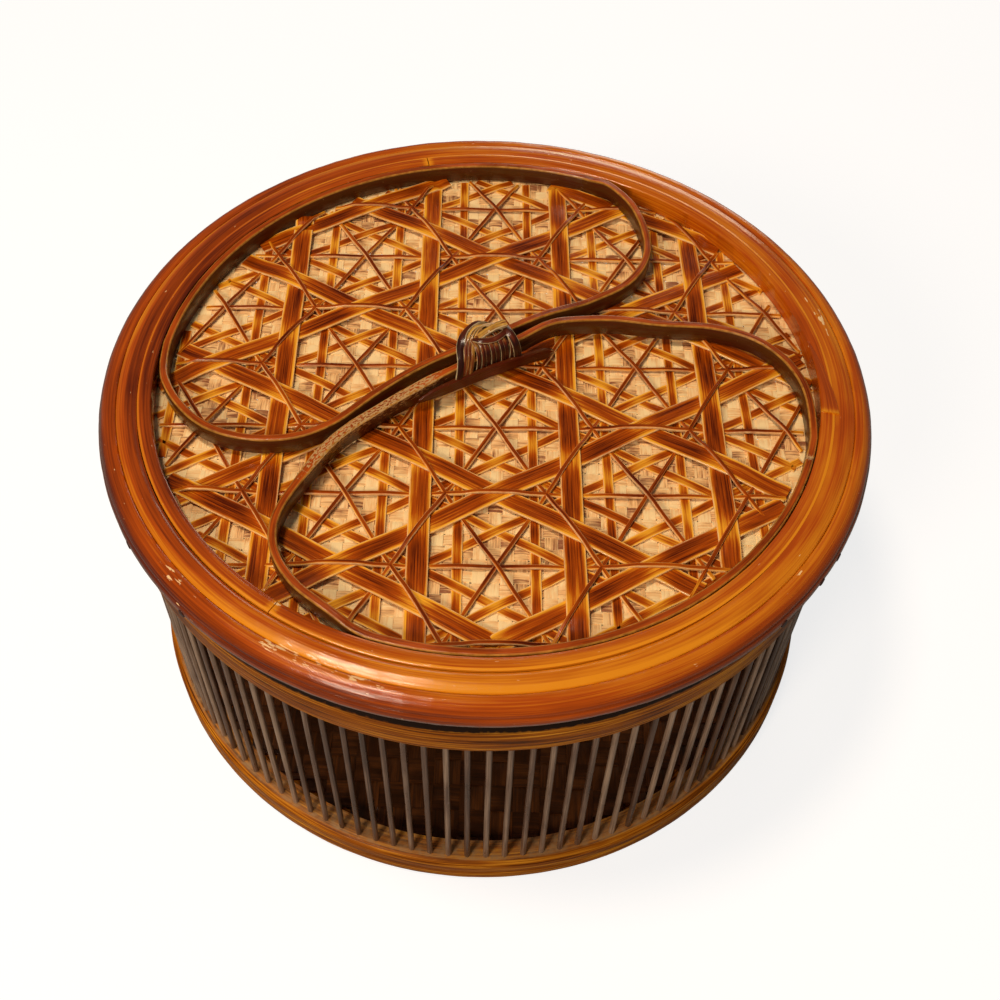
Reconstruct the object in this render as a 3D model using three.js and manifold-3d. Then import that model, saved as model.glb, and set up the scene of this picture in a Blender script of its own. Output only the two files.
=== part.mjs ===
// Woven bamboo box with a lid: a cage of fine rods between two hoops, closed by a lid whose star-woven
// panel sits inside three nested hoops, under a handle of two looped ribs lashed together.
// Millimetres, +Z up, the table at z = 0 and the box's own axis on Z. It is seen from -Y.
import * as THREE from "three";
import { mergeVertices } from "three/addons/utils/BufferGeometryUtils.js";
import Module from "manifold-3d";

const wasm = await Module();
wasm.setup();

// Clearances
const SEAT_GAP = 0.3; // between pieces that rest on or against each other
const CUT_OVERRUN = 1; // how far a cutting shape runs past the face it cuts

// Lid rim: three hoops, nested one inside the next
const LID_RADIUS = 100; // widest circle of the outer hoop
const LID_UNDERSIDE_TO_WIDEST = 2;
const RIM_HEIGHT = 8; // underside to top of the rim
const OUTER_HOOP_WALL = 5.2;
const OUTER_HOOP_FLAT = 1.4; // width of the flat on its upper side
const OUTER_HOOP_DROP = 0.7; // its top lies this much under the rim's top
const MIDDLE_HOOP_WALL = 4.8;
const MIDDLE_HOOP_GROOVE_WIDTH = 1.3;
const MIDDLE_HOOP_GROOVE_DEPTH = 0.9;
const MIDDLE_HOOP_SHOULDER = 0.8;
const INNER_HOOP_WALL = 3.4;
const HOOP_EDGE_ROUND = 0.4;
const INNER_HOOP_JOINT_SLIT = 0.5;
const INNER_HOOP_JOINT_ANGLES = [-121, 104].map(THREE.MathUtils.degToRad);
const PEG_DIAMETER = 2.2;
const PEG_ANGLES = [-146, -132, -45, -36, -31].map(THREE.MathUtils.degToRad);

// Lid panel and the hoop that drops into the box
const PANEL_THICKNESS = 2.3;
const LOCATING_HOOP_WALL = 4.2;
const LOCATING_HOOP_DEPTH = 6.8;

// Box body
const LID_OVERHANG = 2;
const BASE_HOOP_WALL = 7.2;
const BASE_HOOP_HEIGHT = 9.5;
const BASE_EDGE_ROUND = 0.9;
const LEDGE_WIDTH = 4.8;
const LEDGE_HEIGHT = 2.2;
const FLOOR_THICKNESS = 1.5;
const TOP_HOOP_INSET = 0.6; // from the base hoop's outside
const TOP_HOOP_WALL = 4.9;
const TOP_HOOP_HEIGHT = 15.7;
const TOP_HOOP_SHOULDER_DROP = 5.2;
const TOP_HOOP_SHOULDER_IN = 2;
const ROD_COUNT = 118;
const FIRST_ROD_ANGLE = THREE.MathUtils.degToRad(1.1);
const ROD_DIAMETER = 1.6;
const ROD_INSET = 3; // from the base hoop's outside to the rods' centres
const ROD_CLEAR_HEIGHT = 66; // between the two hoops
const SOCKET_DEPTH = 4;

// Star weave of the panel: wide strips in three directions, over and under in turn
const STAR_PITCH_SHARE = 0.4977; // from one six-pointed star to the next, of the woven part's radius
const STAR_ORIGIN_SHARES = [0.0314, -0.1884]; // of that radius
const WEAVE_TURN = THREE.MathUtils.degToRad(2);
const STRIP_WIDTH = 5.3;
const STRIP_THICKNESS = 0.4;
const STRIP_BED = 0.9; // room under the strips for the finer strips
const STRIP_RIM_CLEARANCE = 5.5; // the strips end inside the ribs, short of the inner hoop
const SHORTEST_STRIP_SHARE = 0.35; // of the woven part's radius

// Handle: two looped ribs on edge, lashed where they touch
const RIB_THICKNESS = 2;
const RIB_HEIGHT = 5.4;
const RIB_RISE_AT_KNOT = 2.4; // how far the ribs lift off the weave there
const KNOT_REACH_SHARE = 0.307; // how far from the knot the ribs begin to rise, of their arcs' radius
const KNOT_CENTRE_SHARES = [-0.013, 0.046]; // of that radius
const KNOT_TURN = THREE.MathUtils.degToRad(30);
const BINDING_STRAND = 1.1;
const BINDING_PITCH = 1.9;
const BINDING_TURNS = 7;
const BINDING_START = -4.6; // from the knot's centre along the ribs
const BINDING_SPREAD_SHARE = 0.0372; // half the ribs' distance at its ends, of their arcs' radius
const BINDING_SLACK_BESIDE = 0.9; // between the ribs and the strand, at the sides
const BINDING_SLACK_ABOVE = 0.45; // and above and below them
const COLLAR_STRAND = 1.2;
const COLLAR_TURNS = 2;
const COLLAR_PITCH = 2.2;
const COLLAR_LEAN_SHARE = 0.4; // of the binding's length
const TURN_ROUNDING = 0.5; // 1 winds round turns, and less winds squarer ones
const SPLINT_LENGTH = 40;
const SPLINT_THICKNESS = 1.2;
const SPLINT_HEIGHT = 2.4;

// Facets
const HOOP_SEGMENTS = 84;
const ROD_SIDES = 6;
const PEG_SIDES = 6;
const ROLL_STEPS = 4; // along the outer hoop's rolled edge
const SPLINT_STEPS = 8;
const ARC_POINTS = 9; // along a rib's stretch beside the inner hoop
const RIB_STEPS = 90;
const LOOP_STEPS = 24;
const STRAND_SIDES = 6;

// Radii and levels that follow from the sizes above
const middleHoopOuter = LID_RADIUS - OUTER_HOOP_WALL - SEAT_GAP;
const innerHoopOuter = middleHoopOuter - MIDDLE_HOOP_WALL - SEAT_GAP;
const weaveRadius = innerHoopOuter - INNER_HOOP_WALL;
const baseRadius = LID_RADIUS - LID_OVERHANG;
const baseInner = baseRadius - BASE_HOOP_WALL;
const rodRingRadius = baseRadius - ROD_INSET;
const topHoopOuter = baseRadius - TOP_HOOP_INSET;
const topHoopInner = topHoopOuter - TOP_HOOP_WALL;
const stripEndRadius = weaveRadius - STRIP_RIM_CLEARANCE;
const topHoopBottom = BASE_HOOP_HEIGHT + ROD_CLEAR_HEIGHT;
const topHoopTop = topHoopBottom + TOP_HOOP_HEIGHT;
const lidUnderside = topHoopTop + SEAT_GAP;
const rimTop = lidUnderside + RIM_HEIGHT;
const widestLevel = lidUnderside + LID_UNDERSIDE_TO_WIDEST;
const panelTop = lidUnderside + PANEL_THICKNESS;
const stripBottom = panelTop + STRIP_BED;
const stripLift = STRIP_THICKNESS + SEAT_GAP; // from the under level to the over level
const weaveTop = stripBottom + stripLift + STRIP_THICKNESS;
const starPitch = STAR_PITCH_SHARE * weaveRadius;
const starOrigin = new THREE.Vector2(...STAR_ORIGIN_SHARES).multiplyScalar(weaveRadius);
const starLineSpacing = (starPitch * Math.sqrt(3)) / 2;

const box = new THREE.Group();

// Adds a named piece with its own finish.
function addPiece(name, geometry, color, roughness) {
  const material = new THREE.MeshStandardMaterial({ color, roughness, metalness: 0 });
  const piece = new THREE.Mesh(geometry, material);
  piece.name = name;
  box.add(piece);
  return piece;
}

// A closed geometry as a solid that can be cut and joined.
function solidOf(geometry) {
  const bare = geometry.clone();
  bare.deleteAttribute("normal");
  bare.deleteAttribute("uv");
  const merged = mergeVertices(bare);
  return new wasm.Manifold(
    new wasm.Mesh({
      numProp: 3,
      vertProperties: new Float32Array(merged.attributes.position.array),
      triVerts: new Uint32Array(merged.index.array),
    }),
  );
}

// A solid's surface as a geometry with flat faces.
function geometryOf(solid) {
  const { vertProperties, triVerts } = solid.getMesh();
  const shared = new THREE.BufferGeometry();
  shared.setAttribute("position", new THREE.BufferAttribute(vertProperties, 3));
  shared.setIndex(new THREE.BufferAttribute(triVerts, 1));
  const flat = shared.toNonIndexed();
  flat.computeVertexNormals();
  return flat;
}

// A ring turned about Z from a closed outline of [radius, level] points, listed anticlockwise.
function turnedRing(outline) {
  const points = [...outline, outline[0]].map(([radius, level]) => new THREE.Vector2(radius, level));
  return new THREE.LatheGeometry(points, HOOP_SEGMENTS).rotateX(Math.PI / 2);
}

// An upright prism standing at a radius and an angle.
function uprightPrism(diameter, bottom, top, radius, angle, sides) {
  return new THREE.CylinderGeometry(diameter / 2, diameter / 2, top - bottom, sides)
    .rotateX(Math.PI / 2)
    .translate(radius, 0, (bottom + top) / 2)
    .rotateZ(angle);
}

// BODY OF THE BOX

// The base hoop has a ledge inside for the floor, and the rods stand fixed in its upper face.
function rodCage() {
  const ledgeInner = baseInner - LEDGE_WIDTH;
  let cage = solidOf(
    turnedRing([
      [ledgeInner, 0],
      [baseRadius - BASE_EDGE_ROUND, 0],
      [baseRadius, BASE_EDGE_ROUND],
      [baseRadius, BASE_HOOP_HEIGHT - BASE_EDGE_ROUND],
      [baseRadius - BASE_EDGE_ROUND, BASE_HOOP_HEIGHT],
      [baseInner, BASE_HOOP_HEIGHT],
      [baseInner, LEDGE_HEIGHT],
      [ledgeInner, LEDGE_HEIGHT],
    ]),
  );
  const foot = BASE_HOOP_HEIGHT - SOCKET_DEPTH;
  const head = topHoopBottom + SOCKET_DEPTH - SEAT_GAP;
  for (let i = 0; i < ROD_COUNT; i++) {
    const rod = uprightPrism(ROD_DIAMETER, foot, head, rodRingRadius, rodAngle(i), ROD_SIDES);
    cage = cage.add(solidOf(rod));
  }
  return geometryOf(cage);
}

function rodAngle(i) {
  return FIRST_ROD_ANGLE + (2 * Math.PI * i) / ROD_COUNT;
}

// The upper hoop is drilled from below, one blind socket for the head of each rod.
function drilledTopHoop() {
  let hoop = solidOf(
    turnedRing([
      [topHoopInner, topHoopBottom],
      [topHoopOuter - HOOP_EDGE_ROUND, topHoopBottom],
      [topHoopOuter, topHoopBottom + HOOP_EDGE_ROUND],
      [topHoopOuter, topHoopTop - TOP_HOOP_SHOULDER_DROP],
      [topHoopOuter - TOP_HOOP_SHOULDER_IN, topHoopTop],
      [topHoopInner, topHoopTop],
    ]),
  );
  const socketDiameter = ROD_DIAMETER + 2 * SEAT_GAP;
  const socketTop = topHoopBottom + SOCKET_DEPTH;
  for (let i = 0; i < ROD_COUNT; i++) {
    const socket = uprightPrism(
      socketDiameter,
      topHoopBottom - CUT_OVERRUN,
      socketTop,
      rodRingRadius,
      rodAngle(i),
      ROD_SIDES,
    );
    hoop = hoop.subtract(solidOf(socket));
  }
  return geometryOf(hoop);
}

// A flat round piece centred on the box's axis.
function disc(radius, bottom, top) {
  return new THREE.CylinderGeometry(radius, radius, top - bottom, HOOP_SEGMENTS)
    .rotateX(Math.PI / 2)
    .translate(0, 0, (bottom + top) / 2);
}

// The woven floor, lying on the base hoop's ledge.
function floorMat() {
  const bottom = LEDGE_HEIGHT + SEAT_GAP;
  return disc(baseInner - SEAT_GAP, bottom, bottom + FLOOR_THICKNESS);
}

// LID HOOPS

// The rolled outer hoop, drilled from its side for the bamboo pegs that pin it.
function outerHoop() {
  const inner = LID_RADIUS - OUTER_HOOP_WALL;
  const shoulder = rimTop - OUTER_HOOP_DROP;
  const rollCentre = LID_RADIUS - OUTER_HOOP_WALL + OUTER_HOOP_FLAT;
  const rollReach = LID_RADIUS - rollCentre;
  const rollHeight = shoulder - widestLevel;
  const roll = [];
  for (let step = 0; step <= ROLL_STEPS; step++) {
    const angle = (step / ROLL_STEPS) * (Math.PI / 2);
    roll.push([rollCentre + rollReach * Math.cos(angle), widestLevel + rollHeight * Math.sin(angle)]);
  }
  let hoop = solidOf(
    turnedRing([
      [inner, lidUnderside],
      [LID_RADIUS - LID_UNDERSIDE_TO_WIDEST, lidUnderside],
      ...roll,
      [inner, shoulder],
    ]),
  );
  for (const angle of PEG_ANGLES) {
    hoop = hoop.subtract(solidOf(radialPeg(PEG_DIAMETER + 2 * SEAT_GAP, CUT_OVERRUN, angle)));
  }
  return geometryOf(hoop);
}

// A bamboo peg through the outer hoop, or the hole for one.
function radialPeg(diameter, overrun, angle) {
  const length = OUTER_HOOP_WALL - SEAT_GAP + 2 * overrun;
  return new THREE.CylinderGeometry(diameter / 2, diameter / 2, length, PEG_SIDES)
    .rotateZ(Math.PI / 2)
    .translate(LID_RADIUS - SEAT_GAP + overrun - length / 2, 0, widestLevel)
    .rotateZ(angle);
}

// The middle hoop, with a groove along its inner edge.
function middleHoop() {
  const inner = middleHoopOuter - MIDDLE_HOOP_WALL;
  return turnedRing([
    [inner, lidUnderside],
    [middleHoopOuter, lidUnderside],
    [middleHoopOuter, rimTop - MIDDLE_HOOP_SHOULDER],
    [middleHoopOuter - MIDDLE_HOOP_SHOULDER, rimTop],
    [inner + MIDDLE_HOOP_GROOVE_WIDTH, rimTop],
    [inner, rimTop - MIDDLE_HOOP_GROOVE_DEPTH],
  ]);
}

// The inner hoop is in two lengths, butted at two joints, and holds the panel's edge down.
function innerHoopLengths() {
  const bottom = panelTop + SEAT_GAP;
  let ring = solidOf(
    turnedRing([
      [weaveRadius, bottom],
      [innerHoopOuter, bottom],
      [innerHoopOuter, rimTop - HOOP_EDGE_ROUND],
      [innerHoopOuter - HOOP_EDGE_ROUND, rimTop],
      [weaveRadius + HOOP_EDGE_ROUND, rimTop],
      [weaveRadius, rimTop - HOOP_EDGE_ROUND],
    ]),
  );
  for (const angle of INNER_HOOP_JOINT_ANGLES) {
    const slit = new THREE.BoxGeometry(
      INNER_HOOP_WALL + 2 * CUT_OVERRUN,
      INNER_HOOP_JOINT_SLIT,
      rimTop - bottom + 2 * CUT_OVERRUN,
    )
      .translate(weaveRadius + INNER_HOOP_WALL / 2, 0, (bottom + rimTop) / 2)
      .rotateZ(angle);
    ring = ring.subtract(solidOf(slit));
  }
  return ring.decompose().map(geometryOf);
}

// The hoop under the panel that drops inside the body's upper hoop.
function locatingHoop() {
  const outer = topHoopInner - SEAT_GAP;
  const inner = outer - LOCATING_HOOP_WALL;
  const top = lidUnderside - SEAT_GAP;
  const bottom = top - LOCATING_HOOP_DEPTH;
  return turnedRing([
    [inner, bottom],
    [outer - HOOP_EDGE_ROUND, bottom],
    [outer, bottom + HOOP_EDGE_ROUND],
    [outer, top],
    [inner, top],
  ]);
}

// STAR WEAVE

// Each family of strips runs one way: it goes over the next family and under the one after.
const stripFamilies = [90, 30, 150].map((degrees) => {
  const angle = THREE.MathUtils.degToRad(degrees) + WEAVE_TURN;
  const along = new THREE.Vector2(Math.cos(angle), Math.sin(angle));
  const across = new THREE.Vector2(-along.y, along.x);
  return { angle, along, across, start: starOrigin.dot(across) + starLineSpacing / 2 };
});

// The strips of one family that fit on the panel, as their distances from the box's axis.
function stripOffsets(family) {
  const offsets = [];
  const lines = Math.ceil(stripEndRadius / starLineSpacing) + 1;
  for (let i = -lines; i <= lines; i++) {
    const offset = family.start + i * starLineSpacing;
    const outerEdge = Math.abs(offset) + STRIP_WIDTH / 2;
    const inside = outerEdge < stripEndRadius;
    const shortest = SHORTEST_STRIP_SHARE * weaveRadius;
    if (inside && 2 * Math.sqrt(stripEndRadius ** 2 - outerEdge ** 2) > shortest) {
      offsets.push(offset);
    }
  }
  return offsets;
}

// Where one strip crosses the others: its place along the strip and whether it goes over there.
function crossings(familyIndex, offset) {
  const family = stripFamilies[familyIndex];
  const met = [];
  for (const step of [1, 2]) {
    const other = stripFamilies[(familyIndex + step) % stripFamilies.length];
    for (const otherOffset of stripOffsets(other)) {
      const along =
        (otherOffset - offset * other.across.dot(family.across)) / other.across.dot(family.along);
      met.push({ along, over: step === 1 });
    }
  }
  return met.sort((a, b) => a.along - b.along);
}

// The level of a strip's underside at a place along it, between its bends.
function levelAt(bends, along) {
  const next = bends.findIndex(([place]) => place > along);
  if (next < 0) return bends.at(-1)[1];
  if (next === 0) return bends[0][1];
  const [[fromPlace, fromLevel], [toPlace, toLevel]] = [bends[next - 1], bends[next]];
  return THREE.MathUtils.mapLinear(along, fromPlace, toPlace, fromLevel, toLevel);
}

// One wide strip: its side view, flat at each crossing and sloping between them, made wide.
function wideStrip(familyIndex, offset) {
  const family = stripFamilies[familyIndex];
  const outerEdge = Math.abs(offset) + STRIP_WIDTH / 2;
  const halfLength = Math.sqrt(stripEndRadius ** 2 - outerEdge ** 2);
  const flatReach = STRIP_WIDTH * Math.sin(Math.PI / 3);
  const bends = crossings(familyIndex, offset).flatMap(({ along, over }) => {
    const level = stripBottom + (over ? stripLift : 0);
    return [
      [along - flatReach, level],
      [along + flatReach, level],
    ];
  });
  const underside = [
    [-halfLength, levelAt(bends, -halfLength)],
    ...bends.filter(([along]) => Math.abs(along) < halfLength),
    [halfLength, levelAt(bends, halfLength)],
  ];
  const upperSide = underside.map(([along, level]) => [along, level + STRIP_THICKNESS]).reverse();
  const corners = [...underside, ...upperSide].map((point) => new THREE.Vector2(...point));
  const outline = new THREE.Shape(corners);
  return new THREE.ExtrudeGeometry(outline, { depth: STRIP_WIDTH, bevelEnabled: false })
    .translate(0, 0, -STRIP_WIDTH / 2)
    .rotateX(Math.PI / 2)
    .rotateZ(family.angle)
    .translate(family.across.x * offset, family.across.y * offset, 0);
}

// HANDLE

const ribRimRadius = weaveRadius - SEAT_GAP - RIB_THICKNESS / 2;
const ribFoot = panelTop + SEAT_GAP; // beside the hoop, where a rib stands on the panel itself
const ribBottom = weaveTop + SEAT_GAP; // where it crosses the weave
const ribClimbEnd = stripEndRadius + RIB_THICKNESS / 2 + SEAT_GAP;
const knotCentre = new THREE.Vector2(...KNOT_CENTRE_SHARES).multiplyScalar(ribRimRadius);
const knotReach = KNOT_REACH_SHARE * ribRimRadius;
const knotSlope = new THREE.Vector2(Math.cos(KNOT_TURN), Math.sin(KNOT_TURN));

// Each rib hugs the inner hoop along an arc, then crosses the panel through the knot and comes
// back to the hoop. The crossing's points are shares of the radius of that arc.
const UPPER_RIB_ARC = [176, 72].map(THREE.MathUtils.degToRad);
const UPPER_RIB_SHARES = [
  [0.449, 0.818],
  [0.504, 0.664],
  [0.506, 0.523],
  [0.444, 0.397],
  [0.319, 0.301],
  [0.183, 0.22],
  [-0.012, 0.083],
  [-0.195, -0.032],
  [-0.329, -0.133],
  [-0.456, -0.262],
  [-0.56, -0.316],
  [-0.685, -0.326],
  [-0.81, -0.289],
  [-0.909, -0.203],
  [-0.975, -0.09],
];
const LOWER_RIB_ARC = [-13, -106].map(THREE.MathUtils.degToRad);
const LOWER_RIB_SHARES = [
  [-0.383, -0.9],
  [-0.49, -0.817],
  [-0.557, -0.708],
  [-0.564, -0.602],
  [-0.508, -0.455],
  [-0.43, -0.314],
  [-0.307, -0.191],
  [-0.183, -0.102],
  [-0.018, 0.012],
  [0.093, 0.094],
  [0.207, 0.182],
  [0.365, 0.221],
  [0.541, 0.208],
  [0.708, 0.201],
  [0.832, 0.157],
  [0.91, 0.084],
  [0.963, -0.03],
];

// How high a rib's lower edge stands at a place on the panel: it climbs from the panel onto the
// weave as it leaves the hoop, and lifts off the weave at the knot.
function ribLevel(x, y) {
  const climbed = 1 - THREE.MathUtils.smoothstep(Math.hypot(x, y), ribClimbEnd, ribRimRadius);
  const fromKnot = Math.hypot(x - knotCentre.x, y - knotCentre.y);
  const lifted = Math.exp(-((fromKnot / knotReach) ** 4));
  return THREE.MathUtils.lerp(ribFoot, ribBottom, climbed) + RIB_RISE_AT_KNOT * lifted;
}

function ribRoute(arc, crossingShares) {
  const places = [];
  for (let i = 0; i < ARC_POINTS; i++) {
    const angle = THREE.MathUtils.lerp(arc[0], arc[1], i / (ARC_POINTS - 1));
    places.push([ribRimRadius * Math.cos(angle), ribRimRadius * Math.sin(angle)]);
  }
  for (const [xShare, yShare] of crossingShares) {
    places.push([xShare * ribRimRadius, yShare * ribRimRadius]);
  }
  const points = places.map(([x, y]) => new THREE.Vector3(x, y, 0));
  return new THREE.CatmullRomCurve3(points, true, "centripetal");
}

// A place on a rib's lower edge. The inner hoop holds the ribs in, so a place past the arc's
// radius is brought back to it.
function ribPlace(point) {
  const inward = Math.min(1, ribRimRadius / Math.hypot(point.x, point.y));
  const [x, y] = [point.x * inward, point.y * inward];
  return new THREE.Vector3(x, y, ribLevel(x, y));
}

// A closed rib standing on edge along its route: four corners at each step, joined round.
function ribLoop(arc, crossingShares) {
  const route = ribRoute(arc, crossingShares);
  const corners = [];
  for (let i = 0; i < RIB_STEPS; i++) {
    const point = ribPlace(route.getPointAt(i / RIB_STEPS));
    const tangent = route.getTangentAt(i / RIB_STEPS);
    const side = new THREE.Vector3(-tangent.y, tangent.x, 0).setLength(RIB_THICKNESS / 2);
    const upright = new THREE.Vector3(0, 0, RIB_HEIGHT);
    corners.push(
      point.clone().add(side),
      point.clone().sub(side),
      point.clone().sub(side).add(upright),
      point.clone().add(side).add(upright),
    );
  }
  const triangles = [];
  for (let i = 0; i < RIB_STEPS; i++) {
    for (let k = 0; k < 4; k++) {
      const here = 4 * i + k;
      const beside = 4 * i + ((k + 1) % 4);
      const ahead = (here + 4) % corners.length;
      const aheadBeside = (beside + 4) % corners.length;
      triangles.push(here, ahead, beside, beside, ahead, aheadBeside);
    }
  }
  return new THREE.BufferGeometry().setFromPoints(corners).setIndex(triangles).toNonIndexed();
}

// A point of the knot: along the ribs, across them, and up from the ribs' middle.
const knotMiddle = ribBottom + RIB_RISE_AT_KNOT + RIB_HEIGHT / 2;
const ribSpread = BINDING_SPREAD_SHARE * ribRimRadius;
const bindingHalfWidth = ribSpread + (RIB_THICKNESS + BINDING_STRAND) / 2 + BINDING_SLACK_BESIDE;
const bindingHalfHeight = (RIB_HEIGHT + BINDING_STRAND) / 2 + BINDING_SLACK_ABOVE;
function knotPoint(along, across, up) {
  return new THREE.Vector3(
    knotCentre.x + along * knotSlope.x - across * knotSlope.y,
    knotCentre.y + along * knotSlope.y + across * knotSlope.x,
    knotMiddle + up,
  );
}

// A round strand through a list of points, with its ends run straight for one diameter.
function strand(points, diameter, steps) {
  const first = points[0].clone().sub(points[1]).setLength(diameter).add(points[0]);
  const last = points.at(-1).clone().sub(points.at(-2)).setLength(diameter).add(points.at(-1));
  const route = new THREE.CatmullRomCurve3([first, ...points, last]);
  const section = new THREE.Shape();
  for (let i = 0; i < STRAND_SIDES; i++) {
    const angle = (2 * Math.PI * i) / STRAND_SIDES;
    const place = [(diameter / 2) * Math.cos(angle), (diameter / 2) * Math.sin(angle)];
    if (i === 0) section.moveTo(...place);
    else section.lineTo(...place);
  }
  return new THREE.ExtrudeGeometry(section, { steps, extrudePath: route, bevelEnabled: false });
}

// The least gap between turns of a wound strand, measured from points at least half a turn apart.
function leastGap(points, diameter) {
  let least = Infinity;
  for (let i = 0; i < points.length; i++) {
    for (let j = i + LOOP_STEPS / 2; j < points.length; j++) {
      least = Math.min(least, points[i].distanceTo(points[j]) - diameter);
    }
  }
  return least;
}

// A rounded square path, 1 wide each way, that a strand follows round the two ribs.
function roundedTurn(turn) {
  const angle = 2 * Math.PI * turn - Math.PI / 2;
  const soften = (value) => Math.sign(value) * Math.abs(value) ** TURN_ROUNDING;
  return [soften(Math.cos(angle)), soften(Math.sin(angle))];
}

// The close turns round both ribs.
function binding() {
  return strand(bindingPoints(), BINDING_STRAND, BINDING_TURNS * LOOP_STEPS);
}

function bindingPoints() {
  const points = [];
  for (let i = 0; i <= BINDING_TURNS * LOOP_STEPS; i++) {
    const turn = i / LOOP_STEPS;
    const [across, up] = roundedTurn(turn);
    points.push(
      knotPoint(
        BINDING_START + turn * BINDING_PITCH,
        across * bindingHalfWidth,
        up * bindingHalfHeight,
      ),
    );
  }
  return points;
}

// The turns that start beside the binding and lean over it.
function collar() {
  return strand(collarPoints(), COLLAR_STRAND, COLLAR_TURNS * LOOP_STEPS);
}

function collarPoints() {
  const lift = (BINDING_STRAND + COLLAR_STRAND) / 2 + SEAT_GAP;
  const lean = BINDING_TURNS * BINDING_PITCH * COLLAR_LEAN_SHARE;
  const start = BINDING_START - SEAT_GAP - COLLAR_STRAND - COLLAR_TURNS * COLLAR_PITCH;
  const points = [];
  for (let i = 0; i <= COLLAR_TURNS * LOOP_STEPS; i++) {
    const turn = i / LOOP_STEPS;
    const [across, up] = roundedTurn(turn);
    const upperLift = up > 0 ? lift * up : 0;
    points.push(
      knotPoint(
        start + turn * COLLAR_PITCH + (lean * (up + 1)) / 2,
        across * (bindingHalfWidth + lift),
        up * bindingHalfHeight + upperLift,
      ),
    );
  }
  return points;
}

// A thin lens-shaped splint on edge in front of the lashing.
function splint() {
  const outline = new THREE.Shape();
  outline.moveTo(-SPLINT_LENGTH / 2, 0);
  outline.lineTo(SPLINT_LENGTH / 2, 0);
  outline.quadraticCurveTo(0, 2 * SPLINT_HEIGHT, -SPLINT_LENGTH / 2, 0);
  const across = -(bindingHalfWidth + BINDING_STRAND / 2 + SEAT_GAP + SPLINT_THICKNESS);
  const place = knotPoint(0, across, 0);
  const options = { depth: SPLINT_THICKNESS, bevelEnabled: false, curveSegments: SPLINT_STEPS };
  return new THREE.ExtrudeGeometry(outline, options)
    .rotateX(Math.PI / 2)
    .rotateZ(KNOT_TURN)
    .translate(place.x, place.y, ribBottom);
}

// ASSEMBLY

addPiece("rod_cage", rodCage(), "#8a5a2c", 0.45);
addPiece("top_hoop", drilledTopHoop(), "#8a4e12", 0.35);
addPiece("floor_mat", floorMat(), "#7a4a20", 0.6);
addPiece("lid_locating_hoop", locatingHoop(), "#8a4e12", 0.4);
addPiece("lid_panel", disc(innerHoopOuter, lidUnderside, panelTop), "#e0b478", 0.6);
addPiece("lid_outer_hoop", outerHoop(), "#b4570f", 0.3);
addPiece("lid_middle_hoop", middleHoop(), "#c8690f", 0.3);
innerHoopLengths().forEach((length, i) => {
  addPiece(`lid_inner_hoop_${i + 1}`, length, "#b04a0a", 0.3);
});
PEG_ANGLES.forEach((angle, i) => {
  addPiece(`rim_peg_${i + 1}`, radialPeg(PEG_DIAMETER, 0, angle), "#3a1806", 0.5);
});
stripFamilies.forEach((family, familyIndex) => {
  stripOffsets(family).forEach((offset, i) => {
    const name = `wide_strip_${"abc"[familyIndex]}${i + 1}`;
    addPiece(name, wideStrip(familyIndex, offset), "#b4570f", 0.35);
  });
});
addPiece("handle_rib_upper", ribLoop(UPPER_RIB_ARC, UPPER_RIB_SHARES), "#8a3206", 0.3);
addPiece("handle_rib_lower", ribLoop(LOWER_RIB_ARC, LOWER_RIB_SHARES), "#8a3206", 0.3);
addPiece("handle_splint", splint(), "#8a4a22", 0.45);
addPiece("handle_binding", binding(), "#5a2a12", 0.4);
addPiece("handle_collar", collar(), "#c9a24a", 0.4);

const bindingGap = leastGap(bindingPoints(), BINDING_STRAND);
const collarGap = leastGap(collarPoints(), COLLAR_STRAND);
console.log(`least gap between binding turns ${bindingGap.toFixed(2)} mm`);
console.log(`least gap between collar turns ${collarGap.toFixed(2)} mm`);

export default box;
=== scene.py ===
"""A lidded round box of split bamboo, dressed piece by piece round its packed CAD model.

The model is the fixed frame: metres, +Z up, the table at z = 0 and the box's own axis on Z.
The photograph is taken from -Y. Every level and radius below comes from the frame's nodes or
from a named size, so each piece sits where its CAD node does.
"""

import functools
import itertools
import math
import random

import bpy
import mathutils
from bpy.props import FloatProperty, FloatVectorProperty, IntProperty, PointerProperty
from mathutils import Matrix, Vector


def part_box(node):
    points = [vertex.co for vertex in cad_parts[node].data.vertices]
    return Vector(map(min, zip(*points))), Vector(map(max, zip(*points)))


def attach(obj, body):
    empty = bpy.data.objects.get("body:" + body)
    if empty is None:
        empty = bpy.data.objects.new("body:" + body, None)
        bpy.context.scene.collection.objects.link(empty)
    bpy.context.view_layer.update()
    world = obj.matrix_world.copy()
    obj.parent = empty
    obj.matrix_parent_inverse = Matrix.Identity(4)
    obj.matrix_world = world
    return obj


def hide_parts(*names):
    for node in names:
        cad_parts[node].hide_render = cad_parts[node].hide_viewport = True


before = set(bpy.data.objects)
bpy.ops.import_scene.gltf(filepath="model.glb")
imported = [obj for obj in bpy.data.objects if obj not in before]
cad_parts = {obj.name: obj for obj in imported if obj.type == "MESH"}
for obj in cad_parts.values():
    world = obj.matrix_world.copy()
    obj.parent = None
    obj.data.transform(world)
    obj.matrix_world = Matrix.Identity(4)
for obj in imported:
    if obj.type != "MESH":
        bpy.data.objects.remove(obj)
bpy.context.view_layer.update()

bl_info = {
    "name": "Split bamboo box",
    "version": (1, 0, 0),
    "blender": (4, 5, 0),
    "location": "3D View > Sidebar > Bamboo Box",
    "description": "Builds a lidded bamboo box with a star-woven lid round its packed CAD model",
    "category": "Add Mesh",
}

MM = 0.001
FULL_TURN = 2 * math.pi


# Values of the frame


def outer_radius(node):
    """The radius of a round CAD node."""
    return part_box(node)[1].x


def levels(node):
    """The lowest and the highest level of a CAD node."""
    low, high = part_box(node)
    return low.z, high.z


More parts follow.
